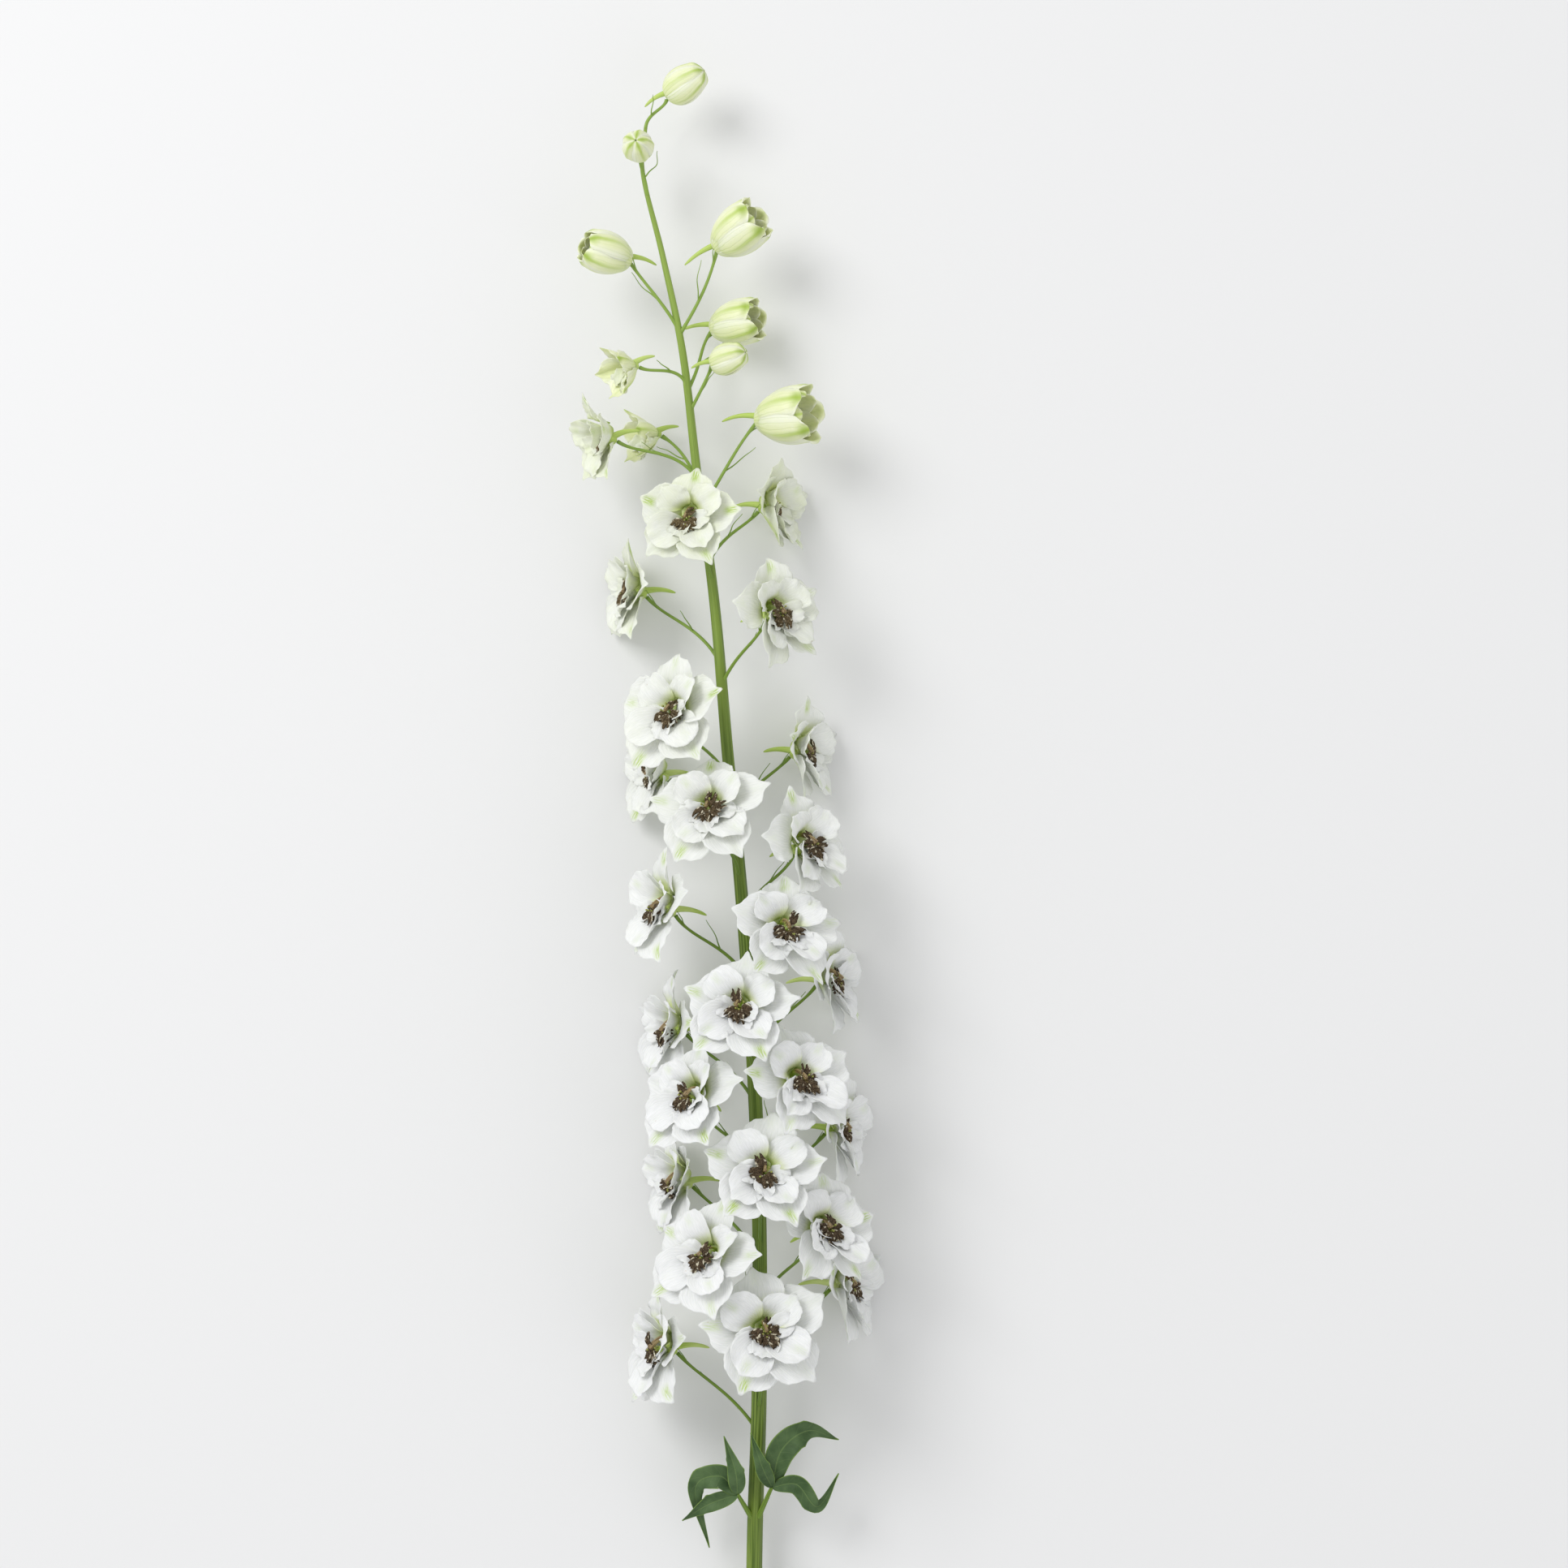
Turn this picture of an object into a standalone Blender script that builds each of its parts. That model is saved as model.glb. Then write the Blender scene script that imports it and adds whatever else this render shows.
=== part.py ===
"""Delphinium flower spike: one cut stem with white flowers, laid on a surface.

The stem lies along +Y with its tip at the far end, and +Z points up from the surface at z = 0.
Flowers stand round the stem on their stalks. Those underneath are pushed to the sides, and where
a petal meets the surface it bends and lies flat on it. All sizes are in millimetres until the
last step, which turns them into metres.
"""

import math

import bmesh
import bpy
import numpy as np
from mathutils import Matrix, Vector

MM = 0.001
SPIKE_SEED = 1907

# The line the stem is measured from, and its cut end, both from the middle of the whole spike.
CUT_END_X = 14.812
CUT_END_Y = -446.120

# Main stem: distance from the cut end, sideways offset, height of its axis and radius.
STEM_STATIONS = (
    (0.0, -2.0, 4.5, 4.5),
    (60.0, -1.8, 11.0, 4.4),
    (125.0, -1.0, 20.0, 4.3),
    (200.0, 1.3, 31.0, 4.1),
    (292.0, 1.3, 38.5, 3.9),
    (376.0, -2.0, 40.5, 3.7),
    (460.0, -8.0, 39.5, 3.5),
    (531.0, -15.0, 37.5, 3.2),
    (611.0, -22.0, 36.5, 2.8),
    (678.0, -31.0, 36.0, 2.4),
    (741.0, -38.5, 35.5, 2.0),
    (792.0, -49.0, 34.0, 1.6),
    (836.0, -59.5, 32.0, 1.2),
    (860.0, -58.0, 30.7, 0.95),
)
STEM_POINTS = 24

# Open flowers: distance along the stem, direction round it (0 is up, + is to the right), reach
# from the stem's axis, diameter, openness from 0 to 1, lean of the face towards the tip, and
# how far below the flower its stalk leaves the stem.
OPEN_FLOWERS = (
    (221, -82, 46, 60, 1.00, 6, 44),
    (232, 4, 43, 62, 1.00, 20, 46),
    (252, 113, 43, 58, 0.95, 6, 42),
    (270, -34, 44, 58, 1.00, 22, 40),
    (284, 42, 45, 58, 1.00, 22, 40),
    (306, -117, 42, 56, 0.95, 4, 38),
    (314, 4, 43, 57, 1.00, 24, 40),
    (334, 116, 43, 56, 0.95, 6, 38),
    (352, -42, 43, 57, 1.00, 22, 38),
    (361, 30, 43, 56, 1.00, 22, 38),
    (386, -118, 42, 55, 0.95, 4, 36),
    (398, -6, 43, 56, 1.00, 24, 36),
    (412, 112, 41, 54, 0.95, 8, 36),
    (438, 26, 42, 56, 1.00, 24, 36),
    (450, -62, 42, 55, 0.95, 12, 36),
    (482, 52, 40, 54, 1.00, 18, 34),
    (500, -14, 42, 56, 1.00, 24, 34),
    (520, -119, 40, 50, 0.90, 4, 32),
    (532, 118, 40, 50, 0.90, 4, 32),
    (550, -34, 41, 58, 1.00, 18, 34),
    (602, 44, 40, 52, 0.95, 12, 34),
    (616, -115, 42, 52, 0.90, 4, 36),
    (651, -12, 33, 50, 0.90, 12, 30),
    (661, 119, 37, 48, 0.80, 4, 28),
    (695, -74, 44, 44, 0.75, -10, 20),
)
UNDERSIDE_FACING = 66

# Half-open bells: the same columns, with the width of the bell for a diameter.
BELLS = (
    (706, 78, 38, 32, 0.25, 6, 46),
    (733, -62, 30, 31, 0.45, -16, 8),
    (700, -132, 26, 30, 0.40, -10, 26),
    (756, 122, 24, 26, 0.20, 10, 34),
    (797, 78, 32, 28, 0.20, 34, 46),
    (790, -72, 21, 24, 0.15, 14, 36),
)

# Closed buds: the same columns, with the bud's width for a diameter. The last is the end bud.
BUDS = (
    (735, 60, 19, 17, 0.0, 16, 24),
    (846, -4, 15, 17, 0.0, 8, 22),
    (877, 84, 13, 20, 0.0, 30, 18),
)

# Leaves: where each leaves the stem, and its lobes, each the points of its midrib from the
# stem's axis with its greatest width. The points are distance along the stem, sideways and up.
LEAVES = (
    (127, (((0, 0, 0), (22, 9, 14), (42, 14, 20), (52, 28, 18), (46, 44, 8)), 15.0),
     (((22, 9, 14), (24, 22, 19), (12, 33, 15), (28, 44, 6)), 10.0),
     (((22, 9, 14), (34, 4, 24), (52, -2, 26)), 8.0)),
    (128, (((0, 0, 0), (17, -9, 12), (27, -18, 16), (20, -31, 12), (-14, -24, -8)), 13.0),
     (((17, -9, 12), (30, -10, 20), (48, -16, 17)), 9.0),
     (((17, -9, 12), (12, -24, 14), (2, -38, 4)), 9.0)),
    (52, (((0, 0, 0), (12, 10, 4), (22, 28, 4), (24, 50, -3), (18, 66, -7)), 15.0),
     (((12, 10, 4), (26, 20, 8), (48, 30, 2)), 10.0),
     (((12, 10, 4), (8, 26, 3), (-6, 44, -5)), 10.0)),
)

PETAL_THICK = 0.62
STALK_RADIUS = 0.85
NODE_GAP = 0.35


def smooth_rows(rows, count):
    """Rows read at even steps from a Catmull-Rom curve through the given rows."""
    rows = np.array(rows, float)
    ends = np.vstack([2 * rows[0] - rows[1], rows, 2 * rows[-1] - rows[-2]])
    place = np.linspace(0, len(rows) - 1, count)
    step = np.minimum(place.astype(int), len(rows) - 2)
    t = (place - step)[:, None]
    a, b, c, d = (ends[step + i] for i in range(4))
    return 0.5 * (
        2 * b + (c - a) * t + (2 * a - 5 * b + 4 * c - d) * t**2
        + (3 * b - a - 3 * c + d) * t**3
    )


STEM_CURVE = smooth_rows(STEM_STATIONS, 400)


def stem_point(along):
    """The stem's axis at a distance along it, as x, y, z."""
    columns = [np.interp(along, STEM_CURVE[:, 0], STEM_CURVE[:, i]) for i in (1, 2)]
    return np.array([CUT_END_X + columns[0], CUT_END_Y + along, columns[1]])


def stem_radius(along):
    return float(np.interp(along, STEM_CURVE[:, 0], STEM_CURVE[:, 3]))


def unit(vector):
    vector = np.array(vector, float)
    return vector / np.linalg.norm(vector)


class Flower:
    """Where one flower sits and which way it faces. Local +Z is its face, +Y its spurred side."""

    def __init__(self, row, seed):
        self.along, self.round, self.reach, self.size, self.open, lean, self.drop = row
        self.rng = np.random.default_rng(SPIKE_SEED + seed)
        turn = math.radians(self.round)
        facing = math.radians(np.clip(self.round, -UNDERSIDE_FACING, UNDERSIDE_FACING))
        lean = math.radians(lean)
        out = np.array([math.sin(turn), 0.0, math.cos(turn)])
        self.centre = stem_point(self.along) + self.reach * out
        face = [
            math.sin(facing) * math.cos(lean),
            math.sin(lean),
            math.cos(facing) * math.cos(lean),
        ]
        self.aim(face, math.radians(self.rng.uniform(-12, 12)))

    def aim(self, face, roll):
        """Sets the local axes: +Z along face, and +Y towards the tip of the spike, rolled a little."""
        face = unit(face)
        up = np.array([0.0, 1.0, 0.0])
        up = unit(up - face * (up @ face))
        side = np.cross(up, face)
        tip = math.cos(roll) * up + math.sin(roll) * side
        self.axes = np.column_stack([np.cross(tip, face), tip, face])
        flat = np.array([face[0], face[1], 0.0])
        self.slide = unit(flat) if np.linalg.norm(flat) > 0.2 else np.zeros(3)

    def world(self, points):
        return self.centre + points @ self.axes.T


def settle(points, slide, lowest, soft=3.0):
    """Bends what would sink below the surface so that it lies on it at height lowest.

    The part of a petal that would be below the surface slides outwards by that depth."""
    z = points[:, 2] - lowest
    bent = np.where(z > soft, z, np.where(z < -soft, 0.0, (z + soft) ** 2 / (4 * soft)))
    moved = points + slide * (bent - z)[:, None] * 0.85
    moved[:, 2] = bent + lowest
    return moved


def petal_plan(flower, whorl, index, count):
    """The size and bends of one petal of a whorl, 0 for the five sepals and 1 for the inner ring."""
    rng, inner = flower.rng, whorl == 1
    share = min(max((flower.open - 0.2) / 0.8, 0.0), 1.0)
    rise = 52 if inner else 40
    tip = 100 - 92 * share if inner else 98 - 104 * share
    length = flower.size * (0.47 if inner else 0.58) * (1 + 0.35 * (1 - share) ** 2)
    width = flower.size * (0.39 if inner else 0.49) * (1 + 0.10 * (1 - share) ** 2)
    turn = 2 * math.pi * (index + (0.5 if inner else 0.0)) / count
    floor = math.atan2(-flower.axes[2, 0], -flower.axes[2, 1])
    off_floor = abs((turn - floor + math.pi) % (2 * math.pi) - math.pi)
    return {
        "round": turn + rng.uniform(-0.05, 0.05),
        "length": length * rng.uniform(0.94, 1.05),
        "width": width * rng.uniform(0.93, 1.06),
        "start": (1.3, 1.9) if inner else (2.4, -0.6),
        "rise": math.radians(rise + rng.uniform(-3, 3)),
        "tip": math.radians(tip + rng.uniform(-10, 10)),
        "twist": math.radians(rng.uniform(9, 13)),
        "wave": rng.uniform(0.3, 0.8) * (0.3 + 0.7 * share),
        "phase": rng.uniform(0, 2 * math.pi),
        "sway": rng.uniform(-0.05, 0.05),
        "blunt": rng.uniform(0.55, 0.72),
        "layer": off_floor // math.radians(36) + 5 * whorl,
    }


def petal_half_width(t, blunt):
    """Narrow at the claw, widest at two thirds, then a round end that is blunt wide."""
    widest, claw = 0.64, 0.09
    near = claw + (1 - claw) * np.sin(0.5 * np.pi * np.clip(t / widest, 0, 1)) ** 1.15
    far = np.clip((t - widest) / (1 - widest), 0, 1)
    return np.where(t < widest, near, 1 - (1 - blunt) * far**2)


def petal_points(plan, u, t):
    """A petal's middle surface in the flower's own frame: u runs across it and t from base to tip.

    The middle line leaves the base at angle rise above the face plane and turns evenly to angle
    tip. Across, the blade is an arc that wraps round the flower where the petal stands up, and it
    is twisted so that one edge lies over the next petal and the other edge lies under the last.
    The end is drawn out to a low point in the middle."""
    t = t * (1 - 0.13 * u**2 * t**3)
    steps = np.linspace(0, 1, 41)
    angles = plan["rise"] + (plan["tip"] - plan["rise"]) * steps**0.85
    gap = plan["length"] * (steps[1] - steps[0])
    middle = 0.5 * (angles[1:] + angles[:-1])
    reach = plan["start"][0] + np.concatenate([[0], np.cumsum(gap * np.cos(middle))])
    climb = plan["start"][1] + np.concatenate([[0], np.cumsum(gap * np.sin(middle))])
    angle, r, z = (np.interp(t, steps, column) for column in (angles, reach, climb))
    side = 0.5 * plan["width"] * petal_half_width(t, plan["blunt"]) * u
    bend = np.clip(np.sin(angle), 0, 1) / np.maximum(r, 2.2) + 0.018 * np.abs(np.cos(angle))
    lift = (1 - np.cos(side * bend)) / bend
    side = np.sin(side * bend) / bend + plan["sway"] * plan["length"] * t**2
    lift += side * math.tan(plan["twist"])
    lift += plan["wave"] * t**1.5 * u**2 * np.sin(2.4 * np.pi * t + 1.9 * u + plan["phase"])
    r, z = r - np.sin(angle) * lift, z + np.cos(angle) * lift
    turn = plan["round"]
    return np.stack(
        [r * np.sin(turn) + side * np.cos(turn), r * np.cos(turn) - side * np.sin(turn), z], -1
    )


def material(name, colour, roughness):
    made = bpy.data.materials.get(name) or bpy.data.materials.new(name)
    made.use_nodes = True
    shader = made.node_tree.nodes["Principled BSDF"]
    shader.inputs["Base Color"].default_value = (*colour, 1.0)
    shader.inputs["Roughness"].default_value = roughness
    shader.inputs["Metallic"].default_value = 0.0
    return made


def collection(name):
    made = bpy.data.collections.new(name)
    bpy.context.scene.collection.children.link(made)
    return made


def link_mesh(mesh, name, group):
    made = bpy.data.objects.new(name, mesh)
    group.objects.link(made)
    return made


def from_bmesh(shape, name, group):
    mesh = bpy.data.meshes.new(name)
    shape.to_mesh(mesh)
    shape.free()
    return link_mesh(mesh, name, group)


def grid_blade(across, along, shape, thick, group):
    """An open grid bent by shape(u, t), split into triangles and given its thickness both ways."""
    sheet = bmesh.new()
    bmesh.ops.create_grid(sheet, x_segments=across, y_segments=along, size=1.0)
    flat = np.array([v.co for v in sheet.verts])
    for vertex, place in zip(sheet.verts, shape(flat[:, 0], 0.5 + 0.5 * flat[:, 1])):
        vertex.co = place
    bmesh.ops.triangulate(sheet, faces=sheet.faces)
    blade = from_bmesh(sheet, "blade", group)
    solid = blade.modifiers.new("thickness", "SOLIDIFY")
    solid.thickness = thick
    solid.offset = 0.0
    return as_mesh(blade, group)


def as_mesh(source, group):
    """The object's evaluated shape as a plain mesh object. The source is removed."""
    graph = bpy.context.evaluated_depsgraph_get()
    mesh = bpy.data.meshes.new_from_object(source.evaluated_get(graph))
    mesh.transform(source.matrix_world)
    made = link_mesh(mesh, source.name, group)
    bpy.data.objects.remove(source)
    weld = bmesh.new()
    weld.from_mesh(mesh)
    bmesh.ops.remove_doubles(weld, verts=weld.verts, dist=0.001)
    bmesh.ops.recalc_face_normals(weld, faces=weld.faces)
    weld.to_mesh(mesh)
    weld.free()
    return made


def tube(points, radii, group, roundness=1):
    """A tapered round piece along the points, with closed ends."""
    line = bpy.data.curves.new("tube", "CURVE")
    line.dimensions = "3D"
    line.bevel_depth = 1.0
    line.bevel_resolution = roundness
    line.use_fill_caps = True
    spline = line.splines.new("POLY")
    spline.points.add(len(points) - 1)
    for knot, place, radius in zip(spline.points, points, radii):
        knot.co = (*place, 1.0)
        knot.radius = radius
    made = bpy.data.objects.new("tube", line)
    group.objects.link(made)
    return as_mesh(made, group)


def largest_shell(mesh):
    """Drops loose scraps and the walls of sealed hollows, and keeps the outer surface."""
    shape = bmesh.new()
    shape.from_mesh(mesh)
    bmesh.ops.triangulate(shape, faces=shape.faces)
    left, shells = set(shape.faces), []
    while left:
        shell, edge = set(), [left.pop()]
        while edge:
            face = edge.pop()
            shell.add(face)
            near = {f for e in face.edges for f in e.link_faces} & left
            left -= near
            edge.extend(near)
        shells.append(shell)
    keep = max(shells, key=lambda s: sum(f.calc_center_median().dot(f.normal) * f.calc_area() for f in s))
    bmesh.ops.delete(shape, geom=[f for f in shape.faces if f not in keep], context="FACES")
    shape.to_mesh(mesh)
    shape.free()


def fuse(name, pieces, group, finish):
    """Joins overlapping pieces into one body, as a node in the spike's collection."""
    first, rest = pieces[0], pieces[1:]
    joined = collection("joined")
    for piece in rest:
        group.objects.unlink(piece)
        joined.objects.link(piece)
    if rest:
        join = first.modifiers.new("union", "BOOLEAN")
        join.operation = "UNION"
        join.operand_type = "COLLECTION"
        join.collection = joined
        join.solver = "MANIFOLD"
    graph = bpy.context.evaluated_depsgraph_get()
    mesh = bpy.data.meshes.new_from_object(first.evaluated_get(graph))
    for piece in pieces:
        bpy.data.objects.remove(piece)
    bpy.data.collections.remove(joined)
    largest_shell(mesh)
    mesh.transform(Matrix.Diagonal((MM, MM, MM, 1.0)))
    mesh.name = name
    mesh.materials.clear()
    mesh.materials.append(finish)
    return link_mesh(mesh, name, group)


def spur_points(flower, length):
    """The hollow horn behind the upper sepal: straight back, then turning down and out a little."""
    t = np.linspace(0, 1, 5)
    hook = flower.rng.uniform(-0.25, 0.25)
    local = np.stack(
        [hook * length * 0.5 * t**2, 1.6 + 0.10 * length * np.sin(2.6 * t), -0.2 - length * t], -1
    )
    return flower.world(local), (2.1 - 1.35 * t**0.8) * (0.75 + 0.25 * min(1, flower.size / 50))


def flower_base(flower, group):
    """The five-sided top of the stalk, which every petal grows from."""
    shape = bmesh.new()
    bmesh.ops.create_cone(
        shape, cap_ends=True, cap_tris=False, segments=5, radius1=3.6, radius2=2.8, depth=5.9
    )
    turn = Matrix(flower.axes.tolist()).to_4x4() @ Matrix.Rotation(math.radians(36), 4, "Z")
    place = Matrix.Translation(Vector(flower.world(np.array([0, 0, 0.35])))) @ turn
    bmesh.ops.transform(shape, matrix=place, verts=shape.verts)
    return from_bmesh(shape, "base", group)


def flower_solids(flower, group):
    """The base, sepals, inner petals and spur of an open flower, or of a bell, in white."""
    pieces = [flower_base(flower, group)]
    inner = 4 if abs(flower.round) < 60 else 3
    for whorl, count in ((0, 5), (1, inner if flower.open > 0.6 else 0)):
        for index in range(count):
            plan = petal_plan(flower, whorl, index, count)

            def shape(u, t, plan=plan):
                rows = flower.world(petal_points(plan, u, t**0.8))
                return settle(rows, flower.slide, 0.5 * PETAL_THICK + 0.45 * plan["layer"])

            pieces.append(grid_blade(2, 2, shape, PETAL_THICK, group))
    points, radii = spur_points(flower, 0.26 * flower.size + 5)
    pieces.append(tube(points, radii, group, roundness=0))
    return pieces


def bud_solids(flower, group):
    """A closed bud or a bell that has just parted: five sepals pressed together, and a spur.

    Its section has five lobes, and they deepen towards the mouth as it opens."""
    wide, long = 0.5 * flower.size, (1.28 - 0.9 * flower.open) * flower.size
    shape = bmesh.new()
    bmesh.ops.create_uvsphere(shape, u_segments=15, v_segments=6, radius=1.0)
    local = np.array([v.co for v in shape.verts])
    turn = np.arctan2(local[:, 0], local[:, 1])
    lobes = 0.06 + 0.6 * flower.open * np.clip(local[:, 2] + 0.3, 0, 1)
    lobes = 1 + lobes * np.cos(5 * turn) * (1 - local[:, 2] ** 2) ** 0.5
    fat = wide * (1 + (1.2 * flower.open - 0.16) * local[:, 2]) * lobes
    local = np.stack([fat * local[:, 0], fat * local[:, 1], 0.5 * long * (1 + local[:, 2]) - 2], -1)
    for vertex, place in zip(shape.verts, settle(flower.world(local), flower.slide, 1.0)):
        vertex.co = place
    points, radii = spur_points(flower, 0.7 * flower.size + 1.6)
    return [from_bmesh(shape, "bud", group), tube(points, radii, group, roundness=0)]


def eye_solids(flower, group):
    """The dark centre: a short foot that flares to a crumpled crown with five lobes."""
    scale = min(1.0, flower.size / 54) * flower.open**1.3
    shape = bmesh.new()
    bmesh.ops.create_uvsphere(shape, u_segments=10, v_segments=4, radius=1.0)
    local = np.array([v.co for v in shape.verts])
    turn = np.arctan2(local[:, 0], local[:, 1])
    level = np.degrees(np.arccos(np.clip(-local[:, 2], -1, 1))) / 45
    wide = np.interp(level, (0, 1, 2, 3, 4), (0, 1.1, 7.8, 4.6, 0))
    high = np.interp(level, (0, 1, 2, 3, 4), (0, 1.2, 9.0, 10.4, 8.6))
    lobed = np.interp(level, (0, 1, 2, 3, 4), (0, 0, 1, 0.6, 0))
    start = flower.rng.uniform(0, 2 * math.pi)
    wide *= 1 + lobed * (0.20 * np.cos(5 * turn + start) + flower.rng.uniform(-0.1, 0.1, len(turn)))
    high += lobed * flower.rng.uniform(-0.7, 0.7, len(turn))
    radial = wide / np.maximum(np.hypot(local[:, 0], local[:, 1]), 1e-6) * scale
    local = np.stack([radial * local[:, 0], radial * local[:, 1], high * scale + 3.3 + NODE_GAP], -1)
    for vertex, place in zip(shape.verts, settle(flower.world(local), flower.slide, 6.0)):
        vertex.co = place
    return [from_bmesh(shape, "eye", group)]


def stalk_points(flower, count=4):
    """A flower's stalk: from inside the stem, up at an angle, then round to the flower's base."""
    start = stem_point(flower.along - flower.drop)
    end = flower.world(np.array([0, -1.2, -2.9 - NODE_GAP]))
    out = unit((flower.centre - stem_point(flower.along)) * (1, 0, 1))
    span = np.linalg.norm(end - start)
    leave = start + 0.45 * span * unit(0.55 * out + np.array([0, 0.85, 0]))
    arrive = end - 0.30 * span * unit(flower.axes[:, 2] + 0.9 * flower.axes[:, 1])
    t = np.linspace(0, 1, count)[:, None]
    return (1 - t) ** 3 * start + 3 * t * (1 - t) ** 2 * leave + 3 * t**2 * (1 - t) * arrive + t**3 * end


def bract_points(stalk, flower, share, length):
    """A thread-like bract that leaves the stalk, stands off it and curls over."""
    base = stalk[int(share * (len(stalk) - 1))]
    ahead = unit(stalk[-1] - stalk[-2])
    away = unit(np.cross(ahead, flower.axes[:, 2]) * flower.rng.choice([-1, 1]) + 0.3 * ahead)
    t = np.linspace(0, 1, 3)[:, None]
    return base + length * (t * (0.55 * ahead + 0.75 * away) + 0.25 * t**2 * (ahead - away))


def leaf_solids(row, group):
    """A leaf: a round stalk that ends where three narrow lobes part, each folded along its midrib."""
    along, lobes = row[0], row[1:]
    pieces = []
    for number, (midrib, width) in enumerate(lobes):
        points = stem_point(along) + np.array([(x, y, z) for y, x, z in midrib], float)
        if number == 0:
            pieces.append(tube(points[:2], (1.6, 1.0), group, roundness=0))
            points = points[1:]

        def shape(u, t, points=points, width=width):
            line = smooth_rows(points, 60)
            steps = np.linspace(0, 1, 60)
            place = np.stack([np.interp(t, steps, line[:, i]) for i in range(3)], -1)
            ahead = np.stack([np.interp(t, steps, np.gradient(line[:, i])) for i in range(3)], -1)
            across = np.cross(ahead, (0.0, 0.0, 1.0))
            across /= np.linalg.norm(across, axis=1)[:, None]
            half = 0.5 * width * (0.22 + 0.78 * np.sin(np.pi * np.clip(t + 0.02, 0, 1) ** 0.8))
            half = np.where(t > 0.98, 0.12 * width, half)
            rows = place + across * (half * u)[:, None]
            rows[:, 2] += 0.3 * half * np.abs(u) + 0.5 * np.sin(7 * t + 3 * u)
            return settle(rows, np.zeros(3), 0.5 * PETAL_THICK + 0.5 * number, 1.5)

        pieces.append(grid_blade(2, 4, shape, PETAL_THICK + 0.05, group))
    return pieces


def stem_solids(flowers, group):
    """The main stem with the stalk of every flower, its bract, and the leaves."""
    knots = smooth_rows(STEM_STATIONS, STEM_POINTS)
    points = np.array([stem_point(k) for k in knots[:, 0]])
    pieces = [tube(points, [stem_radius(k) for k in knots[:, 0]], group, roundness=2)]
    for flower in flowers:
        stalk = stalk_points(flower)
        taper = np.linspace(1.25, 0.95, len(stalk)) * STALK_RADIUS
        pieces.append(tube(stalk, taper, group, roundness=0))
        bract = bract_points(stalk, flower, 0.45, 0.15 * flower.drop + flower.rng.uniform(2, 5))
        pieces.append(tube(bract, (0.5, 0.42, 0.35), group, roundness=0))
    for row in LEAVES:
        pieces.extend(leaf_solids(row, group))
    return pieces


def main():
    for item in list(bpy.data.objects):
        bpy.data.objects.remove(item)
    spike = collection("delphinium_flower_spike")
    petal_white = material("petal_white", (0.93, 0.94, 0.90), 0.55)
    bud_cream = material("bud_cream", (0.80, 0.88, 0.60), 0.50)
    eye_brown = material("eye_brown", (0.08, 0.045, 0.035), 0.70)
    stem_green = material("stem_green", (0.20, 0.36, 0.08), 0.55)

    opened = [Flower(row, 10 + i) for i, row in enumerate(OPEN_FLOWERS)]
    bells = [Flower(row, 50 + i) for i, row in enumerate(BELLS)]
    buds = [Flower(row, 70 + i) for i, row in enumerate(BUDS)]
    for number, flower in enumerate(opened, 1):
        name = f"flower_{number:02d}"
        fuse(f"{name}_petals", flower_solids(flower, spike), spike, petal_white)
        fuse(f"{name}_eye", eye_solids(flower, spike), spike, eye_brown)
    for number, flower in enumerate(bells, 1):
        solids = flower_solids if flower.open > 0.3 else bud_solids
        fuse(f"bell_{number}", solids(flower, spike), spike, bud_cream)
    for number, flower in enumerate(buds, 1):
        fuse(f"bud_{number}", bud_solids(flower, spike), spike, bud_cream)
    fuse("stem", stem_solids(opened + bells + buds, spike), spike, stem_green)


main()
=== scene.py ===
import math

import bpy
import numpy as np
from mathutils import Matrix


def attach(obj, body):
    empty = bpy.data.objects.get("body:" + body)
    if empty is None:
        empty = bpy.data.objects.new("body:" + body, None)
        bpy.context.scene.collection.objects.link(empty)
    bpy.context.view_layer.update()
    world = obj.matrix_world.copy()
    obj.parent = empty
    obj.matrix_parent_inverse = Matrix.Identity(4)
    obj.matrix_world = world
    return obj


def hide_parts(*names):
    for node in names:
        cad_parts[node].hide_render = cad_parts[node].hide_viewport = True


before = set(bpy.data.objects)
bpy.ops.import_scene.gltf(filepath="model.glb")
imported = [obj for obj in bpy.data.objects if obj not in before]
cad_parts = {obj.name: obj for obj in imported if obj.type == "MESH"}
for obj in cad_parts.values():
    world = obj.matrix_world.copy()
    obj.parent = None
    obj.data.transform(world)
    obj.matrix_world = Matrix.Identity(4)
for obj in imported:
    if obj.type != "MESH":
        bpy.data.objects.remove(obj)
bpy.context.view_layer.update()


# Camera, surface and light
# The cut stem lies on a plain pale surface, and the camera looks straight down on it, with the
# place and scale that the spike has in the photograph. The light is soft and comes from all
# round, a little stronger from the top left. Lengths in this section are in metres.
CAMERA_HEIGHT = 2.6
FRAME_WIDTH = 0.811
FRAME_LEVEL = 0.06
FRAME_MIDDLE = (0.0292, 0.0702)
SENSOR_WIDTH = 36.0
SURFACE_REACH = 4.0
SURFACE_COLOUR = (0.80, 0.80, 0.80, 1)
SURFACE_ROUGHNESS = 0.9
ROOM_COLOUR = (0.985, 0.99, 1.0, 1)
ROOM_STRENGTH = 0.74

lens = bpy.data.cameras.new("camera")
lens.sensor_width = SENSOR_WIDTH
lens.lens = SENSOR_WIDTH * (CAMERA_HEIGHT - FRAME_LEVEL) / FRAME_WIDTH
camera = bpy.data.objects.new("camera", lens)
camera.location = (*FRAME_MIDDLE, CAMERA_HEIGHT)
bpy.context.scene.collection.objects.link(camera)
bpy.context.scene.camera = camera

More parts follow.
